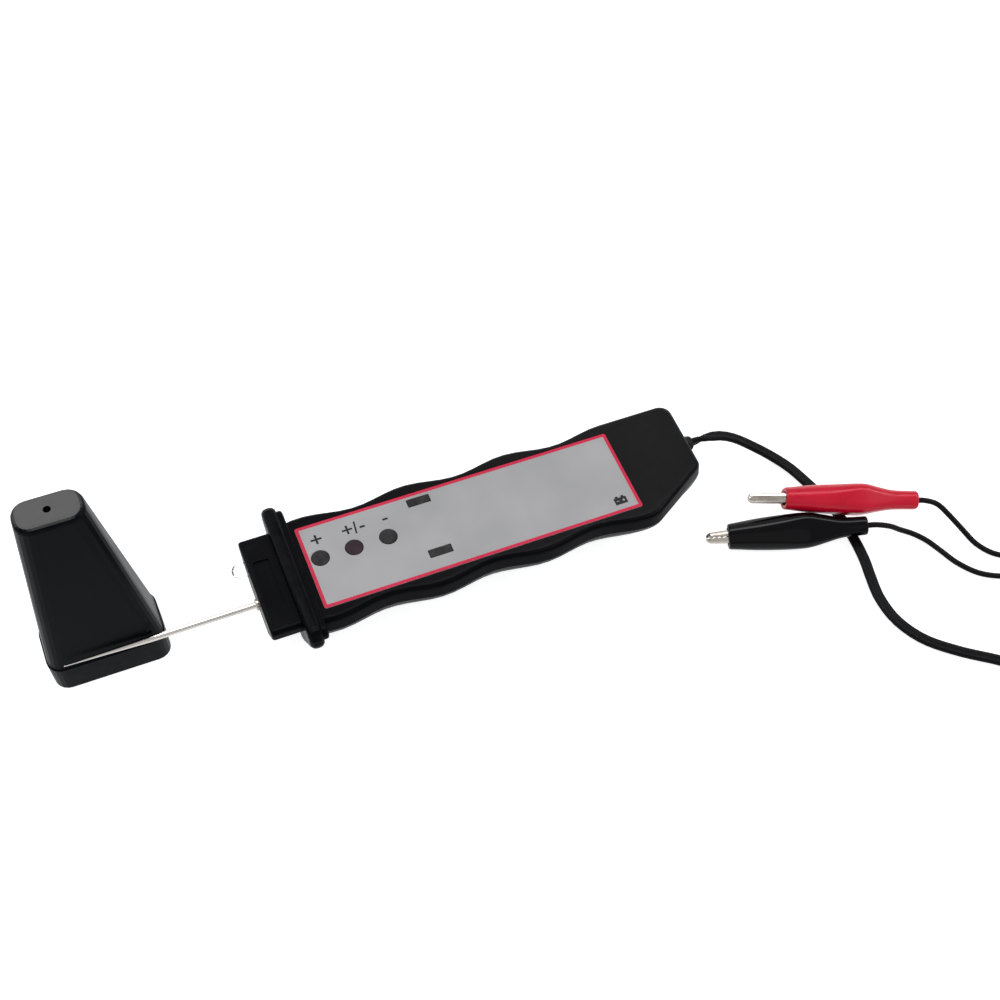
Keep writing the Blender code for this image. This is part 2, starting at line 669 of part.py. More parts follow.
def round_led(name, x, finish):
    """A 5 mm lamp standing on the board under its window."""
    flange, dome = LED_RADIUS + 0.4 * MM, HEIGHT - LENS_DEPTH - 2 * GAP - BOARD_TOP - GAP
    profile = [(0, dome)]
    for step in range(1, 6):
        angle = math.pi / 2 * step / 5
        profile.append((LED_RADIUS * math.sin(angle), dome - LED_RADIUS * (1 - math.cos(angle))))
    profile += [(LED_RADIUS, 1 * MM), (flange, 1 * MM), (flange, 0), (0, 0)]
    turned(name + "_led", profile, (FRONT + x, LAMP_SIDE, BOARD_TOP + GAP), (0, 0, 1), finish, steps=16)


def bar_led(name, y):
    top = HEIGHT - LENS_DEPTH - 2 * GAP
    block_z(
        name + "_bar_led", (BAR_PLACE, y), (BOARD_TOP + GAP, top),
        2.5 * MM, 1.1 * MM, 0.3 * MM, edge=0.4 * MM, finish="red_lamp",
    )


# Needle, its collar and terminal, and the work light


def needle():
    length = NEEDLE_SHOWN + NEEDLE_INSIDE
    profile = [
        (0, length), (0.12 * MM, length - 0.4 * MM), (0.42 * MM, length - NEEDLE_TAPER * 0.4),
        (NEEDLE_RADIUS, length - NEEDLE_TAPER), (NEEDLE_RADIUS, 0.2 * MM),
        (NEEDLE_RADIUS - 0.2 * MM, 0), (0, 0),
    ]
    root = FRONT - NOSE_LENGTH + NEEDLE_INSIDE
    turned("probe_needle", profile, (root, NEEDLE_SIDE, NEEDLE_HEIGHT), (-1, 0, 0), "steel")


def needle_collar():
    """A turned bush that guides the needle through the nose, with a flange behind the wall."""
    bore, outer, flange = NEEDLE_RADIUS + GAP, COLLAR_RADIUS, COLLAR_RADIUS + 1.2 * MM
    tip = COLLAR_PROUD + WALL + GAP
    profile = [
        (bore, tip), (outer - 0.2 * MM, tip), (outer, tip - 0.2 * MM), (outer, 0), (flange, 0),
        (flange, -1.2 * MM), (bore, -1.2 * MM),
    ]
    back = FRONT - NOSE_LENGTH + WALL + GAP
    turned("needle_collar", profile, (back, NEEDLE_SIDE, NEEDLE_HEIGHT), (-1, 0, 0), "nickel", ring=True)


def needle_terminal():
    """The block on the board that the needle plugs into."""
    front = -NOSE_LENGTH
    start = front + WALL + 4 * MM
    end = front + NEEDLE_INSIDE + 1.5 * MM
    half = (end - start) / 2
    block = block_z(
        "needle_terminal", (start + half, NEEDLE_SIDE), (BOARD_TOP + GAP, NEEDLE_HEIGHT + 2.4 * MM),
        half, 2.4 * MM, 0.4 * MM, edge=0.4 * MM, finish="brass",
    )
    before = start - 1 * MM
    place = (FRONT + before, NEEDLE_SIDE, NEEDLE_HEIGHT)
    depth = front + NEEDLE_INSIDE + GAP - before
    cut_hole(block, "terminal_bore", place, (1, 0, 0), NEEDLE_RADIUS + GAP, depth)


def work_light():
    """The clear lamp in the nose, with its two legs bent down to the board's tongue."""
    length = LIGHT_SHOWN + WALL + GAP
    profile = [(0, length)]
    for step in range(1, 6):
        angle = math.pi / 2 * step / 5
        profile.append((LIGHT_RADIUS * math.sin(angle), length - LIGHT_RADIUS * (1 - math.cos(angle))))
    flange = LIGHT_RADIUS + 0.45 * MM
    profile += [(LIGHT_RADIUS, 0), (flange, 0), (flange, -1 * MM), (0, -1 * MM)]
    back = FRONT - NOSE_LENGTH + WALL + GAP
    turned("work_light", profile, (back, LIGHT_SIDE, LIGHT_HEIGHT), (-1, 0, 0), "clear", steps=20)
    start = back + 1 * MM + GAP
    for name, side in (("left", -0.7 * MM), ("right", 0.7 * MM)):
        foot = TONGUE_HALF - 1.4 * MM + side
        legs = [
            Vector((start, LIGHT_SIDE + side, LIGHT_HEIGHT)),
            Vector((start + 1.2 * MM, LIGHT_SIDE + side - 0.4 * MM, LIGHT_HEIGHT - 0.2 * MM)),
            Vector((start + 2.2 * MM, foot + 0.3 * MM, LIGHT_HEIGHT - 1.4 * MM)),
            Vector((start + 2.4 * MM, foot, BOARD_TOP + 2 * GAP)),
        ]
        tube(f"work_light_leg_{name}", legs, 0.5 * MM, "nickel", resolution=1)


# Circuit board


def circuit_board():
    """The board, with a narrow tongue that reaches into the nose."""
    side = [
        (BOARD_END, BOARD_HALF), (BOARD_NECK, BOARD_HALF),
        (BOARD_NECK, TONGUE_HALF), (BOARD_START, TONGUE_HALF),
    ]
    outline = rounded_polygon(side + [(x, -y) for x, y in reversed(side)], 1 * MM)
    rings = [[(FRONT + x, y, height) for x, y in outline] for height in (BOARD_BOTTOM, BOARD_TOP)]
    board = loft("circuit_board", rings, "board")
    for index, (x, y) in enumerate(SCREW_PLACES):
        if x < BOARD_END:
            place = (FRONT + x, y, 0.0)
            cut_hole(board, f"board_hole_{index}", place, (0, 0, 1), BOSS_RADIUS + 2 * GAP, HEIGHT)


def board_parts():
    """Chips, a capacitor and four resistors, each standing just clear of the board."""
    low = BOARD_TOP + GAP
    for name, (x, y, half_x, half_y, height) in CHIPS.items():
        block_z(name, (x, y), (low, low + height), half_x, half_y, 0.3 * MM, edge=0.3 * MM, finish="chip")
    can = [
        (0, 5.9 * MM), (2.2 * MM, 5.9 * MM), (2.5 * MM, 5.6 * MM), (2.5 * MM, 1.2 * MM), (2.2 * MM, 0.9 * MM),
        (2.5 * MM, 0.6 * MM), (2.5 * MM, 0), (0, 0),
    ]
    x, y = CAPACITOR_PLACE
    turned("capacitor", can, (FRONT + x, y, low), (0, 0, 1), "chip", steps=16)
    body = [
        (0, 3.6 * MM), (0.7 * MM, 3.6 * MM), (0.9 * MM, 3.2 * MM), (0.9 * MM, 2.7 * MM),
        (0.75 * MM, 2.3 * MM), (0.75 * MM, 1.3 * MM), (0.9 * MM, 0.9 * MM), (0.9 * MM, 0.4 * MM),
        (0.7 * MM, 0), (0, 0),
    ]
    for row, y in enumerate(RESISTOR_SIDES):
        for column, x in enumerate(RESISTOR_PLACES):
            place = (FRONT + x, y, low + 0.9 * MM)
            turned(f"resistor_{2 * row + column}", body, place, (0, 1, 0), "ceramic", steps=12)


def case_screws():
    head_top = SCREW_HEAD_THICK + 2 * GAP
    for index, (x, y) in enumerate(SCREW_PLACES):
        length = HEIGHT - 2.5 * WALL - head_top
        profile = [
            (0, length), (SCREW_RADIUS * 0.5, length), (SCREW_RADIUS, length - 1 * MM), (SCREW_RADIUS, 0),
            (SCREW_HEAD, 0), (SCREW_HEAD, -1.2 * MM), (SCREW_HEAD * 0.75, -SCREW_HEAD_THICK),
            (1.3 * MM, -SCREW_HEAD_THICK), (0.9 * MM, -0.9 * MM), (0, -0.9 * MM),
        ]
        turned(f"case_screw_{index}", profile, (FRONT + x, y, head_top), (0, 0, 1), "nickel", steps=20)


# Cable and its pieces


def strain_relief():
    """A small tapered bush; its neck sits in the tail wall and a collar holds it from inside."""
    neck, collar = 2.0 * MM, 3.0 * MM
    inner = -WALL - 3 * GAP
    end = GAP + RELIEF_LENGTH
    profile = [
        (0, end), (CORD / 2 + 0.2 * MM, end), (CORD / 2 + 0.45 * MM, RELIEF_LENGTH),
        (RELIEF_RADIUS - 0.3 * MM, GAP + 0.9 * MM), (RELIEF_RADIUS, GAP + 0.5 * MM), (RELIEF_RADIUS, GAP),
        (neck, GAP), (neck, inner), (collar, inner),
        (collar, inner - RELIEF_COLLAR), (0, inner - RELIEF_COLLAR),
    ]
    place = (FRONT + HOUSING_LENGTH, RELIEF_SIDE, RELIEF_HEIGHT)
    turned("strain_relief", profile, place, (1, 0, 0), "housing", steps=20)


def inner_wires():
    """The two cores of the cable, from the strain relief to the board's tail end."""
    start = FRONT + HOUSING_LENGTH - WALL - 4 * GAP - RELIEF_COLLAR
    for name, side, finish in (("red", 0.9 * MM, "wire_red"), ("black", -0.9 * MM, "cable")):
        y = RELIEF_SIDE + side
        end = FRONT + BOARD_END - 3 * MM
        chosen = [
            Vector((start, y, RELIEF_HEIGHT)), Vector((start - 1.2 * MM, y, RELIEF_HEIGHT)),
            Vector((start - 4 * MM, y + 2 * side, RELIEF_HEIGHT + 1.2 * MM)),
            Vector((end + 4.5 * MM, y + 2.4 * side, BOARD_TOP + 3 * MM)),
            Vector((end + 1 * MM, y, BOARD_TOP + 2.2 * MM)), Vector((end, y, BOARD_TOP + 0.9 * MM)),
        ]
        tube(f"inner_wire_{name}", smooth_route(chosen, 1.6 * MM), 1.1 * MM, finish, resolution=1)


def cable_coil():
    """The outer shape of the coil: two turns wide and four layers high."""
    half = COIL_TURNS_WIDE * (CORD + 0.1 * MM) / 2
    low = FLOOR + COIL_LIFT
    high = low + COIL_LAYERS * CORD_LAYER + 0.4 * MM
    soft = 0.9 * MM
    inner, outer = COIL_RADIUS - half, COIL_RADIUS + half
    profile = [
        (inner + soft, high), (outer - soft, high), (outer, high - soft), (outer, low + soft),
        (outer - soft, low), (inner + soft, low), (inner, low + soft), (inner, high - soft),
    ]
    turned("cable_coil", profile, (*COIL_CENTRE, 0.0), (0, 0, 1), "cable", steps=40, ring=True)


def cable_tie():
    """A strap round the coil's section."""
    half = COIL_TURNS_WIDE * (CORD + 0.1 * MM) / 2 + 2 * GAP
    low = FLOOR + COIL_LIFT - GAP
    high = low + COIL_LAYERS * CORD_LAYER + 0.4 * MM + 2 * GAP
    strap = block_z(
        "cable_tie", (-FRONT, 0.0), (low - TIE_THICK, high + TIE_THICK),
        half + TIE_THICK, TIE_WIDTH / 2, 0.5 * MM, finish="tie",
    )
    hollow = block_z(
        "tie_hollow", (-FRONT, 0.0), (low, high), half, TIE_WIDTH, 0.3 * MM, cutter=True
    )
    turn = Matrix.Rotation(TIE_ANGLE, 4, "Z") @ Matrix.Translation((COIL_RADIUS, 0.0, 0.0))
    for piece in (strap, hollow):
        piece.matrix_world = Matrix.Translation((*COIL_CENTRE, 0.0)) @ turn
    boolean(strap, hollow)


def lead_splitter():
    """The shrunk sleeve where the twin cable parts into the two clip leads."""
    stations = (  # distance along it, half width, half height
        (0.0, 2.0, 1.7), (0.4, 2.2, 1.9), (4.0, 2.3, 2.0), (8.0, 2.6, 2.1), (13.0, 2.5, 1.8),
        (15.6, 2.2, 1.5), (16.0, 2.0, 1.3),
    )
    share = SPLITTER_LENGTH / (stations[-1][0] * MM)
    rings = []
    for along, half_y, half_z in stations:
        outline = rounded_rectangle(half_y * MM, half_z * MM, half_z * 0.95 * MM, steps=3)
        x = SPLITTER_START[0] - along * MM * share
        rings.append([(x, SPLITTER_START[1] + y, SPLITTER_HEIGHT + z) for y, z in outline])
    loft("lead_splitter", rings, "cable")


# Crocodile clips


def boot_section(place):
    """Width and height of the boot at a distance from its mouth, on a smooth curve."""
    stops = [Vector(section) * MM for section in BOOT_SECTIONS]
    for index in range(len(stops) - 1):
        if place <= stops[index + 1].x or index == len(stops) - 2:
            break
    b, c = stops[index], stops[index + 1]
    a = stops[index - 1] if index else b
    d = stops[index + 2] if index + 2 < len(stops) else c
    t = (place - b.x) / (c.x - b.x)
    slope_b, slope_c = (c - a) * (c.x - b.x) / (c.x - a.x), (d - b) * (c.x - b.x) / (d.x - b.x)
    found = (
        b * (1 - 3 * t**2 + 2 * t**3) + c * (3 * t**2 - 2 * t**3)
        + slope_b * (t - 2 * t**2 + t**3) + slope_c * (t**3 - t**2)
    )
    return found.y, found.z


def boot_rings(mouth, start, end, wall, count=13):
    rings = []
    for index in range(count + 1):
        place = start + (end - start) * index / count
        width, height = boot_section(min(max(place, 0.0), BOOT_LENGTH))
        half_y, half_z = width / 2 - wall, height / 2 - wall
        outline = rounded_rectangle(half_y, half_z, min(half_y, half_z) * 0.92, steps=4)
        rings.append([(mouth + place, y, z) for y, z in outline])
    return rings


def clip_boot(name, mouth, finish):
    boot = loft(f"{name}_boot", boot_rings(mouth, 0.0, BOOT_LENGTH, 0.0, 19), finish)
    within = boot_rings(mouth, -BOOT_WALL, BOOT_HOLLOW, BOOT_WALL)
    boolean(boot, loft(f"{name}_boot_hollow", within, cutter=True))
    return boot


def jaw_stations(fixed):
    """Places along a jaw from the tip: x from the pin, half width, outer height and height of the edges."""
    sheet_half = JAW_HALF + (JAW_SHEET + GAP if fixed else 0.0)
    stations = [(-JAW_REACH, 0.45 * JAW_HALF, 0.5 * JAW_TIP_HEIGHT, GAP / 2)]
    for index in range(round(JAW_GRIP / JAW_TOOTH)):
        along = (index + 0.5) * JAW_TOOTH
        share = along / JAW_REACH
        height = JAW_TIP_HEIGHT + (JAW_PIN_HEIGHT - JAW_TIP_HEIGHT) * share
        full = math.sqrt(1 - max(0.0, 1 - along / JAW_ROUND) ** 2)
        edge = GAP / 2 + (JAW_BITE if (index + fixed) % 2 else -JAW_BITE)
        stations.append((-JAW_REACH + along, full * JAW_HALF, full * height, edge))
    ear = PIN_RADIUS + 1.4 * MM
    edge = 0.5 * MM
    stations += [
        (-8.0 * MM, (JAW_HALF + sheet_half) / 2, 2.7 * MM, edge),
        (-5.0 * MM, sheet_half, 2.85 * MM, edge),
        (-ear - 0.7 * MM, sheet_half, JAW_PIN_HEIGHT, edge),
        (-ear, sheet_half, JAW_PIN_HEIGHT, -1.3 * MM),
        (ear, sheet_half, JAW_PIN_HEIGHT, -1.3 * MM),
        (ear + 0.9 * MM, sheet_half, JAW_PIN_HEIGHT, 1.3 * MM),
        (JAW_HANDLE - 3 * MM, sheet_half, JAW_HANDLE_HEIGHT, 1.3 * MM),
        (JAW_HANDLE, sheet_half * (0.9 if fixed else 0.8), JAW_HANDLE_HEIGHT, 1.6 * MM),
    ]
    if fixed:
        stations.append((JAW_TONGUE, 1.2 * MM, 2.0 * MM, 0.8 * MM))
    return stations


def trough_section(half, back, edge, closed):
    """Section of a jaw's bent sheet, open below: points of width and height."""
    soft = min(JAW_BACK, 0.7 * half, 0.7 * (back - edge))
    corner = [math.pi / 2 * step / 3 for step in range(4)]
    curve = [(-half + soft * (1 - math.cos(a)), back - soft * (1 - math.sin(a))) for a in corner]
    rising = [(-half, edge)] + curve
    inner = half - min(JAW_SHEET, 0.4 * half)
    roof = edge + 0.1 * MM if closed else back - JAW_SHEET
    bevel = min(0.2 * MM, (roof - edge) / 2)
    within = [(inner, edge), (inner, roof - bevel), (inner - bevel, roof)]
    return rising + [(-y, z) for y, z in reversed(rising)] + within + [(-y, z) for y, z in reversed(within)]


def jaw(name, fixed, parent):
    """A stamped trough with a closed tip, a toothed front, ears for the pin and a handle behind it."""
    side = -1 if fixed else 1
    rings = []
    for x, half, back, edge in jaw_stations(fixed):
        outline = trough_section(half, back, edge, x < JAW_ROUND / 2 - JAW_REACH)
        rings.append([(x, y, side * z) for y, z in outline])
    made = loft(name, rings, "nickel")
    made.parent = parent
    radius = PIN_RADIUS + THIN_GAP
    hole = rod(name + "_pin_hole", (0, -3 * MM, 0), (0, 1, 0), radius, 6 * MM, steps=16, cutter=True)
    hole.parent = parent
    boolean(made, hole)
    return made


def jaw_pin(name, parent):
    head, reach = 1.25 * MM, JAW_HALF + JAW_SHEET + GAP + THIN_GAP
    end = reach + 0.4 * MM
    profile = [
        (0, end), (head * 0.7, end), (head, reach + 0.1 * MM), (head, reach), (PIN_RADIUS, reach),
        (PIN_RADIUS, -reach), (head, -reach), (head, -reach - 0.1 * MM), (head * 0.7, -end), (0, -end),
    ]
    pin = turned(name + "_jaw_pin", profile, (0, 0, 0), (0, 1, 0), "nickel", steps=14)
    pin.parent = parent


def jaw_spring(name, parent):
    """A torsion spring round the pin, with a leg along each handle."""
    radius, wire, turns, steps = PIN_RADIUS + 0.5 * MM, 0.5 * MM, 2.5, 10
    width = 1.5 * MM
    leg = [(8.0 * MM, 2.55 * MM), (4.0 * MM, 1.9 * MM)]
    points = [Vector((x, -width / 2, z)) for x, z in leg]
    count = round(turns * steps)
    for index in range(count + 1):
        angle = math.pi / 2 + 2 * math.pi * turns * index / count
        y = -width / 2 + width * index / count
        points.append(Vector((radius * math.cos(angle), y, radius * math.sin(angle))))
    points += [Vector((x, width / 2, -z)) for x, z in reversed(leg)]
    spring = tube(name + "_jaw_spring", points, wire, "steel", resolution=1)
    spring.parent = parent


def hinge_empty(name, matrix):
    made = bpy.data.objects.new(name, None)
    PARTS.objects.link(made)
    made.matrix_world = matrix
    return made


def clip_frame(name):
    """The clip's pin, with +X towards the lead and +Z towards the moving jaw."""
    middle, yaw, pitch, roll, shown = CLIPS[name]
    turn = Matrix.Rotation(math.radians(yaw), 4, "Z") @ Matrix.Rotation(math.radians(pitch), 4, "Y")
    turn = turn @ Matrix.Rotation(math.radians(roll), 4, "X")
    pin_place = JAW_REACH - (shown + BOOT_LENGTH) / 2
    return Matrix.Translation(middle) @ turn @ Matrix.Translation((pin_place, 0.0, 0.0))


def boot_mouth(name):
    """The boot's open end, along X from the pin."""
    return CLIPS[name][4] - JAW_REACH


def lead(name, chosen_mm):
    """The lead from behind its boot, straight out at first, to the splitter."""
    rear = boot_mouth(name) + BOOT_LENGTH + GAP + 0.1 * MM
    frame = clip_frame(name)
    chosen = [frame @ Vector((rear, 0, 0)), frame @ Vector((rear + 1.5 * LEAD, 0, 0))]
    chosen += [Vector(point) * MM for point in chosen_mm]
    tube(name + "_lead", smooth_route(chosen, 3 * LEAD), LEAD, "cable")


def crocodile_clip(name):
    frame = clip_frame(name)
    fixed = hinge_empty(f"{name}_clip", frame)
    moving = hinge_empty(f"{name}_jaw_hinge", frame)
    boot = clip_boot(name, boot_mouth(name), f"boot_{name}")
    boot.parent = fixed
    for tool in CUTTERS.objects:
        if tool.name == f"{name}_boot_hollow":
            tool.parent = fixed
    jaw(f"{name}_fixed_jaw", True, fixed)
    jaw(f"{name}_moving_jaw", False, moving)
    jaw_pin(name, fixed)
    jaw_spring(name, fixed)


# Needle cap


def cap_rings(stations, thin):
    """Rings up the cap: each station is a height and an extra inset; `thin` is drawn off all round."""
    rings = []
    for height, inset in stations:
        share = max(0.0, (height - CAP_BAND) / (CAP_HEIGHT - CAP_BAND))
        half = [(base + (tip - base) * share) / 2 - inset - thin for base, tip in zip(CAP_BASE, CAP_TIP)]
        corner = max(min(CAP_CORNER, half[1] * 0.92) - inset - thin * 0.6, 0.6 * MM)
        outline = rounded_rectangle(*half, corner, steps=5)
        rings.append([(CAP_CENTRE[0] + x, CAP_CENTRE[1] + y, height) for x, y in outline])
    return rings


def needle_cap():
    """The needle's cover, a tapered box with a straight band at its mouth and a small hole in its tip."""
    tip = rounded_stations(0.0, 1.0, CAP_EDGE, both=False, steps=4)[:-1]
    stations = [(0.0, 0.4 * MM), (0.4 * MM, 0.0), (CAP_BAND, 0.0), (CAP_BAND + 0.5 * MM, 0.35 * MM)]
    stations += [(CAP_HEIGHT - place, inset) for place, inset in reversed(tip)]
    cap = loft("needle_cap", cap_rings(stations, 0.0), "cap")
    hollow = [(-1 * MM, 0.0), (CAP_BAND, 0.0), (CAP_HEIGHT - CAP_END, 0.0)]
    boolean(cap, loft("cap_hollow", cap_rings(hollow, CAP_WALL), cutter=True))
    place = (*CAP_CENTRE, CAP_HEIGHT - 2 * CAP_END)
    cut_hole(cap, "cap_tip_hole", place, (0, 0, 1), CAP_HOLE / 2, 3 * CAP_END)


def build():
    top_shell()
    rear_shell()
    front_label()
    for name, x in zip(LAMP_NAMES, LAMP_PLACES):
        lamp_window(name, x)
        round_led(name, x, "green_lamp" if name == "negative" else "red_lamp")
    for name, y in BAR_SIDES.items():
        bar_window(name, y)
        bar_led(name, y)
    needle()
    needle_collar()
    needle_terminal()
    work_light()
    circuit_board()
    board_parts()
    case_screws()
    strain_relief()
    inner_wires()
    tube("power_cable", route(CABLE_ROUTE, 2.4 * CORD), CORD, "cable")
    cable_coil()
    tube("power_cable_end", route(TAIL_ROUTE, 2.4 * CORD), CORD, "cable")
    cable_tie()
    lead_splitter()
    lead("red", RED_ROUTE)
    lead("black", BLACK_ROUTE)
    for name in CLIPS:
        crocodile_clip(name)
    needle_cap()


build()
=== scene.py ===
# %% [markdown]
# # Dressing a polarity tester pen
# The solids of the pen come ready made, so this lesson is about looks: the cable and its leads, the soft
# boots of the clips, the print on the label, and a finish for every surface. The tester is a satin black
# plastic pen with a long steel needle, a grey film label and two crocodile clips.

# %% Load the solids
import math

import bmesh
import bpy
from mathutils import Matrix, Vector


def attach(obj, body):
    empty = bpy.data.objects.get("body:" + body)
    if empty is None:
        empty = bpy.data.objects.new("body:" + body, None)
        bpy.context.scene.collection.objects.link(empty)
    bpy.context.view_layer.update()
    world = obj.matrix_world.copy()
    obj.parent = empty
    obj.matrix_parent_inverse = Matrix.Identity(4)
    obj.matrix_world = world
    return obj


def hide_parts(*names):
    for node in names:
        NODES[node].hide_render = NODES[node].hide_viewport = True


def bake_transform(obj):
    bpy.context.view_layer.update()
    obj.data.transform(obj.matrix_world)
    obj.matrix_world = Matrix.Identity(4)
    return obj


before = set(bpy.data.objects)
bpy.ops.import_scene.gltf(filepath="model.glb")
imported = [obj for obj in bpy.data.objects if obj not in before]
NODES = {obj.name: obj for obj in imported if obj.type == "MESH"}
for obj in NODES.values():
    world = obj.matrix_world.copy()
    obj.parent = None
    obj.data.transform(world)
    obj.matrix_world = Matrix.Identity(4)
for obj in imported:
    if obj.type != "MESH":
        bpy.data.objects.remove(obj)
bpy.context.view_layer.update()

MM = 0.001
print("nodes loaded:", len(NODES))


# %% [markdown]
# ## Camera
# The photographer stood over the table, about 60 degrees above it, and the camera leaned a little. A camera
# matrix holds exactly this: its columns are the directions of right, up and backwards. The picture was
# cropped off centre, which the lens shift repeats.

# %% Place the camera
ELEVATION = math.radians(59.82)
TURN = math.radians(27.09)
LEAN = math.radians(-5.15)
LOOK_AT = Vector((7.65, -27.94, 0.0)) * MM
DISTANCE = 417.57 * MM
LENS = 51.3
SHIFT = (-0.0434, 0.1175)

back = Vector((
    -math.sin(TURN) * math.cos(ELEVATION), -math.cos(TURN) * math.cos(ELEVATION), math.sin(ELEVATION)
))
right = Vector((math.cos(TURN), -math.sin(TURN), 0.0))
up = back.cross(right)
leaned_right = right * math.cos(LEAN) - up * math.sin(LEAN)
leaned_up = up * math.cos(LEAN) + right * math.sin(LEAN)

camera_data = bpy.data.cameras.new("camera")
camera_data.sensor_width = 36
camera_data.lens = LENS
camera_data.shift_x, camera_data.shift_y = SHIFT
camera_data.clip_start = 0.01
camera = bpy.data.objects.new("camera", camera_data)
bpy.context.scene.collection.objects.link(camera)
camera.matrix_world = Matrix.Translation(LOOK_AT + back * DISTANCE) @ Matrix(
    (leaned_right, leaned_up, back)
).transposed().to_4x4()
bpy.context.scene.camera = camera
print("camera stands", round(camera.location.z * 1000), "mm above the table")


# %% [markdown]
# ## Smooth lines for cables
# A cable is springy, so it never has a corner. A few chosen points give its route, and a Catmull-Rom curve
# runs through all of them. The points are then spaced evenly, so that the skin built on them is even too.

# %% A smooth, evenly spaced route
def smooth_route(chosen, spacing):
    ends = [2 * chosen[0] - chosen[1], *chosen, 2 * chosen[-1] - chosen[-2]]
    dense = [chosen[0]]
    for a, b, c, d in zip(ends, ends[1:], ends[2:], ends[3:]):
        for step in range(1, 17):
            t = step / 16
            bend = (2 * a - 5 * b + 4 * c - d) * t * t + (3 * b - a - 3 * c + d) * t**3
            dense.append((2 * b + (c - a) * t + bend) / 2)
    lengths = [0.0]
    for before, after in zip(dense, dense[1:]):
        lengths.append(lengths[-1] + (after - before).length)
    count = max(2, round(lengths[-1] / spacing))
    found, place = [], 0
    for index in range(count + 1):
        wanted = lengths[-1] * index / count
        while place < len(lengths) - 2 and lengths[place + 1] < wanted:
            place += 1
        share = (wanted - lengths[place]) / (lengths[place + 1] - lengths[place])
        found.append(dense[place].lerp(dense[place + 1], min(share, 1.0)))
    return found


def length_of(points):
    return sum((after - before).length for before, after in zip(points, points[1:]))


def smooth_step(value):
    value = min(max(value, 0.0), 1.0)
    return value * value * (3 - 2 * value)


# %% [markdown]
# ## Building a skin
# Cables, boots and sleeves are all skins stretched over a row of cross-sections. One function joins the
# sections into quads and closes the two ends, which keeps every such piece a sound, closed mesh.

# %% Skin over cross-sections
def new_piece(name, mesh, smooth_angle):
    mesh.shade_smooth()
    mesh.set_sharp_from_angle(angle=math.radians(smooth_angle))
    made = bpy.data.objects.new(name, mesh)
    bpy.context.scene.collection.objects.link(made)
    return made


def skin(name, rings, smooth_angle):
    shape = bmesh.new()
    rows = [[shape.verts.new(point) for point in ring] for ring in rings]
    count = len(rows[0])
    for low, high in zip(rows, rows[1:]):
        for i in range(count):
            after = (i + 1) % count
            shape.faces.new((low[i], low[after], high[after], high[i]))
    shape.faces.new(rows[0])
    shape.faces.new(rows[-1])
    bmesh.ops.recalc_face_normals(shape, faces=shape.faces)
    mesh = bpy.data.meshes.new(name)
    shape.to_mesh(mesh)
    shape.free()
    return new_piece(name, mesh, smooth_angle)


def rounded_rectangle(half_u, half_v, corner, steps=5):
    points = []
    for quarter, (su, sv) in enumerate(((1, 1), (-1, 1), (-1, -1), (1, -1))):
        for step in range(steps + 1):
            angle = math.pi / 2 * (quarter + step / steps)
            points.append((
                su * (half_u - corner) + corner * math.cos(angle),
                sv * (half_v - corner) + corner * math.sin(angle),
            ))
    return points


# %% [markdown]
# ## The twin cable
# The supply cable is a flat pair of cores, like speaker wire. It leaves the tail on its edge, twists flat as
# it drops to the table, and runs out of the picture under the clips. What the photograph doesn't show is
# wound into a small coil. In a neat coil the cable lies in layers: each turn first moves inwards or outwards,
# and the next one climbs. Doing one move after less than a full turn keeps the turns out of each other.

# %% Route of the cable
CORD = 3.4 * MM
CORD_THICK = 1.9 * MM
CABLE_ROUTE = [
    (71.2, 8.0, 10.0), (76.5, 8.1, 10.0), (81.7, 7.8, 9.0), (86.6, 6.5, 6.9), (91.2, 3.9, 4.5),
    (96.2, -0.4, 2.4), (100.2, -6.8, 1.8), (102.8, -14.5, 1.8), (105.2, -22.5, 1.8), (106.2, -30.0, 1.8),
    (106.2, -38.0, 1.8), (105.6, -45.0, 1.8), (104.2, -52.0, 1.8), (103.2, -59.0, 1.8), (104.2, -67.5, 1.8),
    (108.6, -76.0, 1.8), (116.6, -83.5, 1.8), (125.8, -90.2, 1.8), (133.2, -97.0, 2.1), (139.5, -103.3, 2.5),
]
TAIL_ROUTE = [
    (189.2, -96.9, 7.0), (195.2, -88.4, 4.6), (203.0, -81.2, 2.8), (211.5, -75.5, 2.2), (217.3, -68.5, 2.1),
    (216.0, -62.3, 2.2), (210.0, -60.1, 2.4), (202.3, -60.0, 2.5),
]
COIL_CENTRE = Vector((164, -97, 0)) * MM
COIL_SIDES = (21.75 * MM, 18.25 * MM)  # radius of the outer and the inner turns
COIL_LAYER = 2.0 * MM
COIL_BOTTOM = 2.2 * MM
COIL_SLOT = 290  # degrees between one move and the next
COIL_MOVE = 70  # degrees that a move takes
COIL_START = 225  # direction in which the cable joins the coil, in degrees
COIL_ANGLE = 2265  # degrees from where the cable joins the coil to where it leaves
COIL_PLACES = [(0, 0), (1, 0), (1, 1), (0, 1), (0, 2), (1, 2), (1, 3), (0, 3)]  # side and layer of each slot
COIL_STEP = 15  # degrees between the points of the coil
CABLE_SPACING = 2.6 * MM


def coil_point(turned):
    """Where the cable lies after this many degrees of the coil."""
    slot = min(int(turned // COIL_SLOT), len(COIL_PLACES) - 1)
    side, layer = COIL_PLACES[slot]
    radius, height = COIL_SIDES[side], COIL_BOTTOM + layer * COIL_LAYER
    if slot + 1 < len(COIL_PLACES):
        share = smooth_step((turned - COIL_SLOT * (slot + 1) + COIL_MOVE) / COIL_MOVE)
        next_side, next_layer = COIL_PLACES[slot + 1]
        radius += (COIL_SIDES[next_side] - radius) * share
        height += (COIL_BOTTOM + next_layer * COIL_LAYER - height) * share
    angle = math.radians(COIL_START + turned)
    return COIL_CENTRE + Vector((radius * math.cos(angle), radius * math.sin(angle), height))


def in_metres(points_mm):
    return [Vector(point) * MM for point in points_mm]


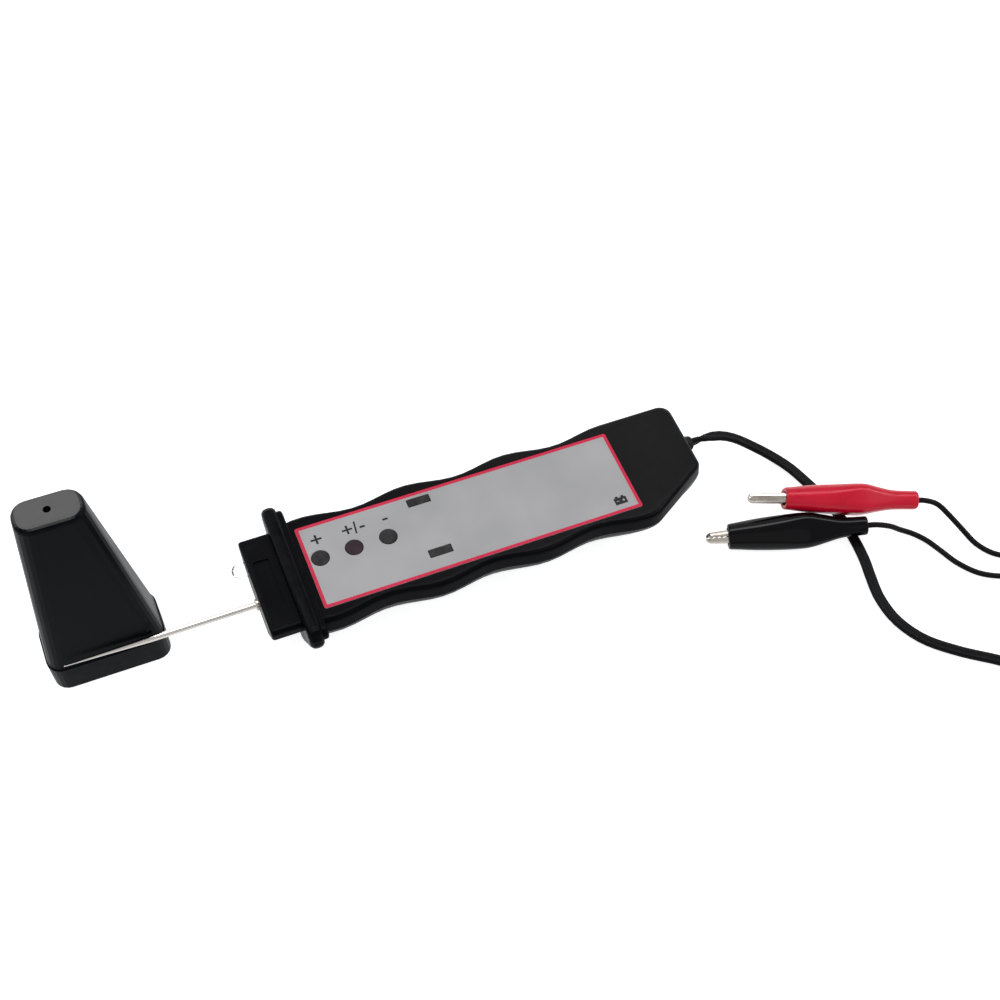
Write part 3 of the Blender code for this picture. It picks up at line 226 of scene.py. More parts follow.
coil = [coil_point(turned) for turned in range(0, COIL_ANGLE + 1, COIL_STEP)]
cable_path = smooth_route([*in_metres(CABLE_ROUTE), *coil, *in_metres(TAIL_ROUTE)], CABLE_SPACING)


# %% Skin of the twin cable
CORE_RADIUS = CORD_THICK / 2
CORE_APART = (CORD - CORD_THICK) / 2
EDGE_LENGTH = 9 * MM  # the cable stands on its edge at the tail and lies flat after this


def twin_section(steps=9):
    """Two round cores side by side, joined by a web."""
    meet = math.pi - math.acos(CORE_APART / CORE_RADIUS)
    points = []
    for side in (1, -1):
        for step in range(steps + 1):
            angle = -meet + 2 * meet * step / steps
            points.append((
                side * (CORE_APART + CORE_RADIUS * math.cos(angle)), side * CORE_RADIUS * math.sin(angle)
            ))
    return points


def twin_rings(path):
    section = twin_section()
    rings, travelled = [], 0.0
    for index, place in enumerate(path):
        before, after = path[max(index - 1, 0)], path[min(index + 1, len(path) - 1)]
        along = (after - before).normalized()
        if index:
            travelled += (place - path[index - 1]).length
        flat = along.cross(Vector((0, 0, 1))).normalized()
        lean = math.pi / 2 * (1 - smooth_step(travelled / EDGE_LENGTH))
        across = flat * math.cos(lean) + flat.cross(along) * math.sin(lean)
        through = along.cross(across)
        rings.append([place + across * u + through * v for u, v in section])
    return rings


twin_cable = skin("twin_cable", twin_rings(cable_path), smooth_angle=60)
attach(twin_cable, "root")
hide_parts("power_cable", "cable_coil", "power_cable_end")
print("twin cable faces:", len(twin_cable.data.polygons))


# %% [markdown]
# ## Splitter, tie and leads
# Where the pair parts, a shrunk sleeve holds it. Heat makes such a sleeve follow what is inside it, so it
# narrows towards the cable and shows a soft waist. The tie is a strap of hook-and-loop tape, pulled tight
# round the section of the coil with its end lapped over. The two leads are plain round wires, and each is a
# skin over round sections that are carried along its route.

# %% Splitter sleeve
SPLITTER_END = Vector((202, -60, 2.5)) * MM
SLEEVE_ROUND = 0.96  # how round the sleeve's corners are
SLEEVE = [  # distance, half width and half height
    (0.0, 1.85, 1.15), (0.12, 2.0, 1.3), (1.2, 2.05, 1.35), (3.0, 2.25, 1.5), (6.0, 2.5, 1.75),
    (8.5, 2.58, 1.9), (10.5, 2.5, 1.8), (12.5, 2.42, 1.62), (14.3, 2.3, 1.45), (15.7, 2.22, 1.4),
    (15.9, 2.15, 1.32), (16.0, 2.0, 1.2),
]
sleeve_rings = []
for along, half_width, half_height in SLEEVE:
    outline = rounded_rectangle(half_width * MM, half_height * MM, half_height * SLEEVE_ROUND * MM)
    sleeve_rings.append([SPLITTER_END + Vector((-along * MM, y, z)) for y, z in outline])
splitter = skin("splitter_sleeve", sleeve_rings, smooth_angle=40)
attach(splitter, "root")
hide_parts("lead_splitter")
print("splitter sleeve faces:", len(splitter.data.polygons))


# %% Tie of hook-and-loop tape
TIE_ANGLE = math.radians(75)  # where the tie sits on the coil
TIE_WIDTH = 6 * MM
TIE_THICK = 0.55 * MM
TIE_GAP = 0.1 * MM  # under the lapped end
TIE_LAP = 5  # sides of the loop that the tape covers twice
TIE_CLIMB = 3  # sides over which the tape climbs onto itself
LOOP_HALF = (4.1 * MM, 4.5 * MM)
LOOP_CORNER = 1.3 * MM
SECTION_MIDDLE = 20 * MM  # from the coil's axis to the middle of its section
SECTION_HEIGHT = 5.2 * MM
TAPE_SECTION = [(-1, -0.5), (-0.96, 0.5), (0.96, 0.5), (1, -0.5)]  # half widths across, thicknesses through


def tie_loop():
    """Inner line of the tape round the coil's section: (distance from the section's middle, height)."""
    outline = rounded_rectangle(*LOOP_HALF, LOOP_CORNER)
    return [(u, SECTION_HEIGHT + v) for u, v in outline]


tie_line = tie_loop()
count = len(tie_line)
line = [tie_line[i % count] for i in range(count + TIE_LAP)]
radial = Vector((math.cos(TIE_ANGLE), math.sin(TIE_ANGLE), 0))
tangent = Vector((-math.sin(TIE_ANGLE), math.cos(TIE_ANGLE), 0))
tape_rings = []
for index, (u, z) in enumerate(line):
    climbed = smooth_step((index - count + TIE_CLIMB - 1) / TIE_CLIMB)
    lifted = climbed * (TIE_THICK + TIE_GAP)
    before, after = line[max(index - 1, 0)], line[min(index + 1, len(line) - 1)]
    direction = Vector((after[0] - before[0], after[1] - before[1])).normalized()
    outward = Vector((direction.y, -direction.x))
    section = []
    for side, thick in TAPE_SECTION:
        away = lifted + TIE_THICK * (0.5 + thick)
        place = COIL_CENTRE + radial * (SECTION_MIDDLE + u + outward.x * away)
        place += Vector((0, 0, z + outward.y * away))
        section.append(place + tangent * (side * TIE_WIDTH / 2))
    tape_rings.append(section)
coil_tie = skin("coil_tie", tape_rings, smooth_angle=50)
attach(coil_tie, "root")
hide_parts("cable_tie")
print("tie faces:", len(coil_tie.data.polygons))


# %% Clip places, repeated from the solids
BOOT_LENGTH = 42 * MM
JAW_REACH = 21.5 * MM  # pin to tip
JAW_NODES = ("_fixed_jaw", "_moving_jaw", "_jaw_pin")
CLIPS = {  # middle of the whole clip, yaw, pitch and roll in degrees, jaw length shown
    "red": ((102.7 * MM, -26.6 * MM, 10.1 * MM), -18.3, 5.0, 27.0, 11.0 * MM),
    "black": ((86.1 * MM, -29.8 * MM, 5.6 * MM), -18.8, -5.2, -60.0, 6.6 * MM),
}


def clip_frame(name):
    """The clip's pin, with +X towards the lead and +Z towards the moving jaw."""
    middle, yaw, pitch, roll, shown = CLIPS[name]
    turn = Matrix.Rotation(math.radians(yaw), 4, "Z") @ Matrix.Rotation(math.radians(pitch), 4, "Y")
    turn = turn @ Matrix.Rotation(math.radians(roll), 4, "X")
    pin_place = JAW_REACH - (shown + BOOT_LENGTH) / 2
    return Matrix.Translation(middle) @ turn @ Matrix.Translation((pin_place, 0.0, 0.0))


def mouth_of(name):
    """Distance from the pin to the boot's mouth, along the clip."""
    return CLIPS[name][4] - JAW_REACH


for name in CLIPS:
    print(name, "pin at", [round(value * 1000, 1) for value in clip_frame(name).translation], "mm")


# %% The two leads
LEAD = 1.7 * MM
LEAD_SPACING = 1.5 * MM
LEAD_CLEAR = 0.4 * MM  # from the boot's end to the first point of the route
LEAD_SUNK = 0.6 * MM  # how far the wire's end reaches back from that point, into the boot
LEAD_ROUTES = {
    "red": [
        (134.4, -37.6, 6.0), (137.0, -41.6, 4.0), (139.2, -46.6, 2.2), (141.2, -52.4, 1.1),
        (144.9, -57.6, 1.0), (151.0, -60.4, 1.0), (160.5, -60.2, 1.0), (172.0, -59.2, 1.2),
        (185.7, -59.1, 2.3),
    ],
    "black": [
        (116.6, -39.5, 6.0), (120.2, -40.4, 3.5), (124.2, -42.2, 1.7), (127.4, -45.6, 1.0),
        (129.6, -50.4, 1.0), (132.4, -56.6, 1.0), (137.4, -62.4, 1.0), (145.4, -66.0, 1.0),
        (156.0, -66.2, 1.0), (167.5, -63.7, 1.0), (177.5, -61.4, 1.4), (185.7, -60.9, 2.3),
    ],
}


def wire_rings(path, thickness, sides=14):
    """Round sections along a wire. Each starts from the one before it, so the skin doesn't twist."""
    rings, across = [], Vector((0, 0, 1))
    for i, point in enumerate(path):
        along = (path[min(i + 1, len(path) - 1)] - path[max(i - 1, 0)]).normalized()
        across = (across - along * across.dot(along)).normalized()
        up = along.cross(across)
        turns = [2 * math.pi * side / sides for side in range(sides)]
        rings.append([point + (across * math.cos(t) + up * math.sin(t)) * thickness / 2 for t in turns])
    return rings


def lead_tube(name):
    """The lead and its path, which starts at the splitter and ends in the boot."""
    rear = mouth_of(name) + BOOT_LENGTH + LEAD_CLEAR
    place = clip_frame(name)
    chosen = [place @ Vector((rear, 0, 0)), place @ Vector((rear + 1.5 * LEAD, 0, 0))]
    path = smooth_route([*chosen, *in_metres(LEAD_ROUTES[name])], LEAD_SPACING)
    path[0] = place @ Vector((rear - LEAD_SUNK, 0, 0))
    path.reverse()
    return skin(name + "_clip_lead", wire_rings(path, LEAD), smooth_angle=60), path


leads = {}
for name in CLIPS:
    lead, lead_path = lead_tube(name)
    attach(lead, "root")
    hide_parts(name + "_lead")
    leads[name] = (lead, lead_path)
    print(name, "lead", round(length_of(lead_path), 4), "m")


# %% [markdown]
# ## Soft boots
# Each clip wears a sleeve of soft vinyl. It is stretched over the clip's handles, so it is round at the
# mouth, swells to flat-sided shoulders over the handle ends, and then drops to a collar round the wire. The
# sections below give width and height along it, and a number for how round the section is. An inner wall
# makes the open mouth real.

# %% Boot sections
BOOT = [  # distance from the mouth, width along the pin, height, how round the corners are
    (0.0, 6.7, 7.9, 0.98), (1.0, 6.7, 7.9, 0.98), (9.0, 8.2, 9.7, 0.96), (16.8, 8.8, 10.7, 0.82),
    (22.4, 9.1, 10.9, 0.62), (25.2, 8.9, 10.4, 0.60), (29.4, 7.3, 8.5, 0.70), (33.6, 6.0, 6.5, 0.80),
    (36.8, 5.7, 5.9, 0.82), (42.0, 5.6, 5.7, 0.80),
]
BOOT_WALL = 0.8 * MM
BOOT_HOLLOW = 31 * MM
BOOT_SIDE = (BOOT_LENGTH - 1 * MM, 0.7 * MM)  # distances between which the outside is full
BOOT_ROUNDEST = 0.98
BOOT_REAR = [(0.0, 0.9), (0.0, 0.45), (0.15, 0.15), (0.5, 0.0)]  # mm before the rear end, mm sunk
BOOT_LIP = [  # mm behind the mouth, mm sunk
    (0.3, 0.1), (0.05, 0.35), (0.0, 0.7), (0.1, 1.25), (0.5, 1.5), (1.3, 1.3),
]
OUTER_STEPS = 44
INNER_STEPS = 12


def boot_size(place):
    """Width, height and roundness at a distance from the mouth, eased between the listed sections."""
    stops = [Vector((d * MM, w * MM, h * MM, r)) for d, w, h, r in BOOT]
    index = max(i for i in range(len(stops) - 1) if stops[i][0] <= place or i == 0)
    b, c = stops[index], stops[index + 1]
    a = stops[index - 1] if index else b
    d = stops[index + 2] if index + 2 < len(stops) else c
    span = c[0] - b[0]
    t = (place - b[0]) / span
    slope_b, slope_c = (c - a) * span / (c[0] - a[0]), (d - b) * span / (d[0] - b[0])
    return (
        b * (1 - 3 * t**2 + 2 * t**3) + c * (3 * t**2 - 2 * t**3)
        + slope_b * (t - 2 * t**2 + t**3) + slope_c * (t**3 - t**2)
    )


def boot_ring(place, sunk, mouth, matrix):
    size = boot_size(min(max(place, 0.0), BOOT_LENGTH))
    half_y, half_z = size[1] / 2 - sunk, size[2] / 2 - sunk
    corner = min(half_y, half_z) * min(size[3], BOOT_ROUNDEST)
    outline = rounded_rectangle(half_y, half_z, corner, steps=6)
    return [matrix @ Vector((mouth + place, y, z)) for y, z in outline]


def boot(name):
    """The skin runs from the rear end along the outside, round the lip and back along the inner wall."""
    matrix, mouth = clip_frame(name), mouth_of(name)
    rear = [(BOOT_LENGTH - before * MM, sunk * MM) for before, sunk in BOOT_REAR]
    shares = [step / OUTER_STEPS for step in range(OUTER_STEPS + 1)]
    side = [(BOOT_SIDE[0] * (1 - share) + BOOT_SIDE[1] * share, 0.0) for share in shares]
    lip = [(behind * MM, sunk * MM) for behind, sunk in BOOT_LIP]
    inner = [(BOOT_HOLLOW * step / INNER_STEPS, BOOT_WALL) for step in range(1, INNER_STEPS + 1)]
    rings = [boot_ring(place, sunk, mouth, matrix) for place, sunk in [*rear, *side, *lip, *inner]]
    made = skin(name + "_vinyl_boot", rings, smooth_angle=40)
    subdivision = made.modifiers.new("soften", "SUBSURF")
    subdivision.levels = subdivision.render_levels = 1
    return made


boots = {}
for name in CLIPS:
    boots[name] = boot(name)
    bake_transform(boots[name])
    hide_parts(name + "_boot")
    print(name, "boot faces:", len(boots[name].data.polygons))


# %% [markdown]
# ## Torsion springs
# A wire spring sits round each pin and keeps the jaws shut. One of its legs moves with the moving jaw.

# %% Coils and legs of the springs
PIN_RADIUS = 0.8 * MM
SPRING_WIRE = 0.5 * MM
SPRING_TURNS = 2.5
SPRING_STEPS = 24  # points in each turn
SPRING_HALF = 0.75 * MM  # half of the coil's width along the pin
SPRING_LEG = [(8.0, 2.55), (4.0, 1.9)]  # mm behind the pin and mm above it, from the leg's end


def torsion_spring(name):
    """The coil sits round the pin, and each leg lies along the handle that it pushes."""
    radius = PIN_RADIUS + SPRING_WIRE
    points = [Vector((x * MM, -SPRING_HALF, z * MM)) for x, z in SPRING_LEG]
    count = round(SPRING_TURNS * SPRING_STEPS)
    for index in range(count + 1):
        angle = math.pi / 2 + 2 * math.pi * SPRING_TURNS * index / count
        y = SPRING_HALF * (2 * index / count - 1)
        points.append(Vector((radius * math.cos(angle), y, radius * math.sin(angle))))
    points += [Vector((x * MM, SPRING_HALF, -z * MM)) for x, z in reversed(SPRING_LEG)]
    matrix = clip_frame(name)
    rings = wire_rings([matrix @ point for point in points], SPRING_WIRE, sides=10)
    return skin(name + "_torsion_spring", rings, smooth_angle=60)


springs = {}
for name in CLIPS:
    springs[name] = torsion_spring(name)
    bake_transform(springs[name])
    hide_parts(name + "_jaw_spring")
print("torsion springs:", len(springs))


# %% [markdown]
# ## Cords
# The cable and the leads are soft.

print("cords declared:", 1 + len(leads))


# %% [markdown]
# ## Print on the label
# Ink lies on the film as a very thin layer. Small closed plates, three hundredths of a millimetre thick, give
# it crisp edges from any side, with no image needed. There is a coloured line round the edge, the signs
# over the three lamps, and a small battery that tells where the supply goes.

# %% Ink plates
LABEL_TOP = 20.0 * MM
INK = 0.03 * MM
FRONT = -60 * MM  # x of the finger guard's front face
LABEL_START = 7.2 * MM
LABEL_LENGTH = 96.8 * MM
LABEL_HALF = 14 * MM
PLUSES = [(12.0, 8.5, 3.2, 0.64), (21.2, 8.5, 3.0, 0.6)]  # place, size and stroke of each plus, in mm
BARS = [  # place, length, width and angle of the slash and the two minus signs
    (23.6, 8.5, 4.2, 0.5, math.radians(84)), (25.6, 8.1, 1.6, 0.64, 0.0), (32.5, 8.2, 1.6, 0.64, 0.0),
]
BATTERY_PLACE = (98.6, -9.9)
BATTERY = [  # its outline with the two poles on top
    (-1.9, -1.35), (1.9, -1.35), (1.9, 0.95), (1.35, 0.95), (1.35, 1.5), (0.45, 1.5), (0.45, 0.95),
    (-0.45, 0.95), (-0.45, 1.5), (-1.35, 1.5), (-1.35, 0.95), (-1.9, 0.95),
]
BATTERY_PLUSES = [(99.5, -10.1, 0.8, 0.2)]
BATTERY_BARS = [(97.7, -10.1, 0.8, 0.2, 0.0)]
BORDER_SECTION = [(0.02, 0.0), (0.02, 1.0), (1.0, 1.0), (1.0, 0.0)]  # mm inside the edge, layers of ink


def plate(shape, outline, low, high):
    """A thin closed plate with this outline, added to a mesh that is being built."""
    bottom = [shape.verts.new((x, y, low)) for x, y in outline]
    top = [shape.verts.new((x, y, high)) for x, y in outline]
    for i in range(len(outline)):
        after = (i + 1) % len(outline)
        shape.faces.new((bottom[i], bottom[after], top[after], top[i]))
    shape.faces.new(list(reversed(bottom)))
    shape.faces.new(top)


def on_label(x, y, corners):
    """Corners about (x, y), in millimetres behind the guard's front face, as places in the scene."""
    return [(FRONT + (x + u) * MM, (y + v) * MM) for u, v in corners]


def bar_outline(x, y, length, width, angle):
    turn = Matrix.Rotation(angle, 2)
    corners = [Vector((u * length / 2, v * width / 2)) for u, v in ((-1, -1), (1, -1), (1, 1), (-1, 1))]
    return on_label(x, y, [turn @ corner for corner in corners])


def plus_outline(x, y, size, stroke):
    s, w = size / 2, stroke / 2
    corners = [(-s, -w), (-w, -w), (-w, -s)]
    for _ in range(3):
        corners += [(-v, u) for u, v in corners[-3:]]
    return on_label(x, y, corners)


def finish_ink(name, shape):
    bmesh.ops.recalc_face_normals(shape, faces=shape.faces)
    mesh = bpy.data.meshes.new(name)
    shape.to_mesh(mesh)
    shape.free()
    made = new_piece(name, mesh, smooth_angle=20)
    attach(made, "root")
    return made


def ink_plates(name, layer, outlines):
    """One piece of ink made of plates, all in the same layer above the film."""
    shape = bmesh.new()
    for outline in outlines:
        plate(shape, outline, LABEL_TOP + layer * INK, LABEL_TOP + (layer + 1) * INK)
    return finish_ink(name, shape)


def signs_of(pluses, bars):
    return [plus_outline(*sign) for sign in pluses] + [bar_outline(*sign) for sign in bars]


def border_line():
    """A frame of ink just inside the label's edge."""
    middle = FRONT + LABEL_START + LABEL_LENGTH / 2
    shape = bmesh.new()
    loops = []
    for inset, height in BORDER_SECTION:
        corner = (0.55 - inset * 0.4) * MM
        outline = rounded_rectangle(LABEL_LENGTH / 2 - inset * MM, LABEL_HALF - inset * MM, corner, steps=3)
        loops.append([shape.verts.new((middle + u, v, LABEL_TOP + height * INK)) for u, v in outline])
    for low, high in zip(loops, loops[1:] + loops[:1]):
        for i in range(len(low)):
            after = (i + 1) % len(low)
            shape.faces.new((low[i], low[after], high[after], high[i]))
    return finish_ink("label_border", shape)


border = border_line()
signs = ink_plates("lamp_signs", 0, signs_of(PLUSES, BARS))
battery = ink_plates("battery_sign", 0, [on_label(*BATTERY_PLACE, BATTERY)])
poles = ink_plates("battery_poles", 1, signs_of(BATTERY_PLUSES, BATTERY_BARS))
print("label print:", [piece.name for piece in (border, signs, battery, poles)])


# %% [markdown]
# ## Shared effects
# Real plastic, film and metal are never one flat colour. Four small node groups hold the effects that many
# finishes share: a moulded grain, rubbed edges that also serve as painted edge highlights, hairline
# scratches, and dust on what faces up that also serves as painted light on top faces. Each finish sets its
# own amounts.

# %% Node group helpers
def new_group(name, inputs, outputs):
    group = bpy.data.node_groups.new(name, "ShaderNodeTree")
    for socket, value in inputs:
        made = group.interface.new_socket(socket, in_out="INPUT", socket_type="NodeSocketFloat")
        made.default_value = value
    for socket in outputs:
        group.interface.new_socket(socket, in_out="OUTPUT", socket_type="NodeSocketFloat")
    entry = group.nodes.new("NodeGroupInput")
    leave = group.nodes.new("NodeGroupOutput")
    return group, entry, leave


def object_coordinates(tree):
    return tree.nodes.new("ShaderNodeTexCoord").outputs["Object"]


def noise(tree, vector, scale, detail, rough):
    made = tree.nodes.new("ShaderNodeTexNoise")
    made.inputs["Detail"].default_value = detail
    made.inputs["Roughness"].default_value = rough
    tree.links.new(vector, made.inputs["Vector"])
    if isinstance(scale, (int, float)):
        made.inputs["Scale"].default_value = scale
    else:
        tree.links.new(scale, made.inputs["Scale"])
    return made.outputs["Fac"]


def maths(tree, operation, *values, clamp=False):
    made = tree.nodes.new("ShaderNodeMath")
    made.operation = operation
    made.use_clamp = clamp
    for socket, value in zip(made.inputs, values):
        if isinstance(value, (int, float)):
            socket.default_value = value
        else:
            tree.links.new(value, socket)
    return made.outputs["Value"]


def map_range(tree, value, low, high, to_low=0.0, to_high=1.0):
    made = tree.nodes.new("ShaderNodeMapRange")
    tree.links.new(value, made.inputs["Value"])
    for socket, number in (("From Min", low), ("From Max", high), ("To Min", to_low), ("To Max", to_high)):
        made.inputs[socket].default_value = number
    return made.outputs["Result"]


# %% Moulded grain
def make_grain():
    inputs = [("Scale", 2500.0), ("Blotch", 60.0)]
    group, entry, leave = new_group("moulded_grain", inputs, ["Height", "Tone"])
    place = object_coordinates(group)
    fine = noise(group, place, entry.outputs["Scale"], 4.0, 0.6)
    broad = noise(group, place, entry.outputs["Blotch"], 2.0, 0.5)
    group.links.new(fine, leave.inputs["Height"])
    mixed = maths(group, "MULTIPLY_ADD", fine, 0.35, broad)
    group.links.new(map_range(group, mixed, 0.45, 0.95), leave.inputs["Tone"])
    return group


GRAIN = make_grain()
print("shared effect:", GRAIN.name)


# %% Rubbed edges and painted edge highlights
def make_rub_and_edge_light():
    group, entry, leave = new_group("rubbed_and_lit_edges", [("Amount", 1.0)], ["Mask"])
    pointed = group.nodes.new("ShaderNodeNewGeometry").outputs["Pointiness"]
    edge = map_range(group, pointed, 0.52, 0.60)
    patch = map_range(group, noise(group, object_coordinates(group), 260.0, 3.0, 0.6), 0.35, 0.70)
    rubbed_and_lit = maths(group, "MULTIPLY", edge, patch)
    mask = maths(group, "MULTIPLY", rubbed_and_lit, entry.outputs["Amount"], clamp=True)
    group.links.new(mask, leave.inputs["Mask"])
    return group


RUB_AND_EDGE_LIGHT = make_rub_and_edge_light()
print("shared effect:", RUB_AND_EDGE_LIGHT.name)


# %% Hairline scratches
def make_hairlines():
    group, entry, leave = new_group("hairlines", [("Across", 2600.0), ("Along", 60.0)], ["Mask", "Height"])
    place = object_coordinates(group)
    stretch = group.nodes.new("ShaderNodeCombineXYZ")
    group.links.new(entry.outputs["Along"], stretch.inputs[0])
    group.links.new(entry.outputs["Across"], stretch.inputs[1])
    group.links.new(entry.outputs["Across"], stretch.inputs[2])
    scaled = group.nodes.new("ShaderNodeVectorMath")
    scaled.operation = "MULTIPLY"
    group.links.new(place, scaled.inputs[0])
    group.links.new(stretch.outputs[0], scaled.inputs[1])
    lines = noise(group, scaled.outputs[0], 1.0, 2.0, 0.5)
    group.links.new(map_range(group, lines, 0.58, 0.78), leave.inputs["Mask"])
    group.links.new(lines, leave.inputs["Height"])
    return group


HAIRLINES = make_hairlines()
print("shared effect:", HAIRLINES.name)


# %% Dust and painted top light on what faces up
# Length over which the dust and painted top light set in behind their start.
DUST_AND_LIGHT_FADE = 0.09  # length over which the dust sets in behind its start


def make_dust_and_top_light():
    """Dust and painted top light lie on level faces, in specks or evenly, and set in behind the place given
    as Start.
    """
    inputs = [("Amount", 0.2), ("Even", 0.0), ("Start", -10.0)]
    group, entry, leave = new_group("dust_and_painted_top_light", inputs, ["Mask"])
    lengthwise = group.nodes.new("ShaderNodeSeparateXYZ")
    group.links.new(object_coordinates(group), lengthwise.inputs[0])
    past = maths(group, "SUBTRACT", lengthwise.outputs["X"], entry.outputs["Start"])
    settled = maths(group, "MULTIPLY", map_range(group, past, 0.0, DUST_AND_LIGHT_FADE), entry.outputs["Amount"])
    geometry = group.nodes.new("ShaderNodeNewGeometry")
    split = group.nodes.new("ShaderNodeSeparateXYZ")
    group.links.new(geometry.outputs["Normal"], split.inputs[0])
    upward = map_range(group, split.outputs["Z"], 0.75, 0.99)
    specks = map_range(group, noise(group, object_coordinates(group), 900.0, 4.0, 0.75), 0.52, 0.78)
    spread = maths(group, "MAXIMUM", specks, entry.outputs["Even"])
    mask = maths(group, "MULTIPLY", maths(group, "MULTIPLY", upward, spread), settled, clamp=True)
    group.links.new(mask, leave.inputs["Mask"])
    return group


DUST_AND_TOP_LIGHT = make_dust_and_top_light()
print("shared effect:", DUST_AND_TOP_LIGHT.name)


# %% [markdown]
# ## Finishes
# One function builds a finish from the shared effects: the grain moves colour and roughness a little, rubbed
# edges and painted edge highlights turn lighter and smoother, hairlines catch the light, and dust and painted
# top light grey what faces up. Constants such as the specular level are set straight on the shader.

# %% A finish from its amounts
ROUGHNESS_SWING = 0.12
WORN_SMOOTHER = 0.3  # share of the roughness that a rubbed edge loses
HAIR_DEPTH = 4  # how much more a hairline moves the height than the roughness
DUST_AND_LIGHT_ROUGHER = 0.4
# Grey of dust, which on the cap's top serves as painted light.
DUST_AND_TOP_LIGHT_GREY = (0.35, 0.34, 0.33)
BUMP_STRENGTH = 0.6


def place_group(tree, group, **values):
    made = tree.nodes.new("ShaderNodeGroup")
    made.node_tree = group
    for name, value in values.items():
        made.inputs[name].default_value = value
    return made.outputs


def mix_colour(tree, share, first, second):
    made = tree.nodes.new("ShaderNodeMix")
    made.data_type = "RGBA"
    for socket, value in ((0, share), (6, first), (7, second)):
        if isinstance(value, (int, float)):
            made.inputs[socket].default_value = value
        elif isinstance(value, tuple):
            made.inputs[socket].default_value = (*value, 1.0)
        else:
            tree.links.new(value, made.inputs[socket])
    return made.outputs[2]


def finish(
    name, colour, second, roughness, metallic=0.0, specular=0.5, grain=2500.0, blotch=60.0, bump=0.02,
    rub_and_edge_light=0.0, rubbed_and_lit=None, hair=0.0, dust_and_top_light=0.0, even=0.0, dust_and_light_start=-10.0, coat=0.0, coat_roughness=0.1,
):
    """A material between two close shades, with grain, rubbed and painted-lit edges, hairlines, and dust and
    painted top light.
    """
    made = bpy.data.materials.new(name)
    made.use_nodes = True
    tree = made.node_tree
    shader = tree.nodes["Principled BSDF"]
    shader.inputs["Specular IOR Level"].default_value = specular
    shader.inputs["Metallic"].default_value = metallic
    shader.inputs["Coat Weight"].default_value = coat
    shader.inputs["Coat Roughness"].default_value = coat_roughness
    grained = place_group(tree, GRAIN, Scale=grain, Blotch=blotch)
    paint = mix_colour(tree, grained["Tone"], colour, second)
    swing = (roughness * (1 - ROUGHNESS_SWING), roughness * (1 + ROUGHNESS_SWING))
    rough = map_range(tree, grained["Tone"], 0.0, 1.0, *swing)
    # Edges turn lighter where rubbed; on the cap the lighter edges are a painted highlight.
    if rub_and_edge_light:
        worn_and_lit_mask = place_group(tree, RUB_AND_EDGE_LIGHT, Amount=rub_and_edge_light)["Mask"]
        paint = mix_colour(tree, worn_and_lit_mask, paint, rubbed_and_lit)
        rough = maths(tree, "SUBTRACT", rough, maths(tree, "MULTIPLY", worn_and_lit_mask, roughness * WORN_SMOOTHER))
    height = grained["Height"]
    if hair:
        lines = place_group(tree, HAIRLINES)
        rough = maths(tree, "ADD", rough, maths(tree, "MULTIPLY", lines["Mask"], hair))
        height = maths(tree, "ADD", height, maths(tree, "MULTIPLY", lines["Height"], hair * HAIR_DEPTH))
    # Dust greys what faces up; on the cap this grey is painted light on its top face.
    if dust_and_top_light:
        dusty_and_lit = place_group(tree, DUST_AND_TOP_LIGHT, Amount=dust_and_top_light, Even=even, Start=dust_and_light_start)["Mask"]
        paint = mix_colour(tree, dusty_and_lit, paint, DUST_AND_TOP_LIGHT_GREY)
        rough = maths(tree, "ADD", rough, maths(tree, "MULTIPLY", dusty_and_lit, DUST_AND_LIGHT_ROUGHER), clamp=True)
    tree.links.new(paint, shader.inputs["Base Color"])
    tree.links.new(rough, shader.inputs["Roughness"])
    relief = tree.nodes.new("ShaderNodeBump")
    relief.inputs["Strength"].default_value = BUMP_STRENGTH
    relief.inputs["Distance"].default_value = bump * MM
    tree.links.new(height, relief.inputs["Height"])
    tree.links.new(relief.outputs["Normal"], shader.inputs["Normal"])
    return made


def wear(finish_made, *names):
    """Gives a finish to solids and pieces by name."""
    for name in names:
        thing = NODES.get(name) or bpy.data.objects[name]
        thing.data.materials.clear()
        thing.data.materials.append(finish_made)


# %% [markdown]
# ## Black plastic
# The housing, its guard and the cap are moulded in black plastic with a fine satin grain. The cap comes from
# another mould and gets its own values: its top is painted lighter grey where light falls, and its edges
# carry a painted highlight.

# %% Housing, cap and strain relief
satin_black = finish(
    "housing_satin_black", (0.0010, 0.0012, 0.0020), (0.0030, 0.0031, 0.0042), 0.36, specular=0.03,
    grain=3200.0, bump=0.012, rub_and_edge_light=0.5, rubbed_and_lit=(0.030, 0.030, 0.034), dust_and_top_light=0.062, even=0.6, dust_and_light_start=-0.05,
)
# Painted light: the even grey on the cap's top stands in for light falling on it, the lighter edges for a
# highlight.
cap_black = finish(
    "cap_satin_black", (0.0004, 0.0008, 0.0018), (0.0016, 0.0022, 0.0040), 0.34, specular=0.035,
    grain=2600.0, bump=0.012, rub_and_edge_light=0.25, rubbed_and_lit=(0.05, 0.05, 0.052), dust_and_top_light=0.84, even=0.55,
)
relief_black = finish(
    "relief_matt_black", (0.005, 0.005, 0.0056), (0.010, 0.010, 0.011), 0.55, specular=0.12,
    grain=3000.0, bump=0.02,
)
wear(satin_black, "top_shell", "rear_shell")
wear(cap_black, "needle_cap")
wear(relief_black, "strain_relief")
print("plastics:", [made.name for made in (satin_black, cap_black, relief_black)])


# %% [markdown]
# ## Film, ink and windows
# The label is a grey polyester film with a slight sheen. The windows are the same tinted plastic, and the
# middle one shows a little of the red lamp behind it.

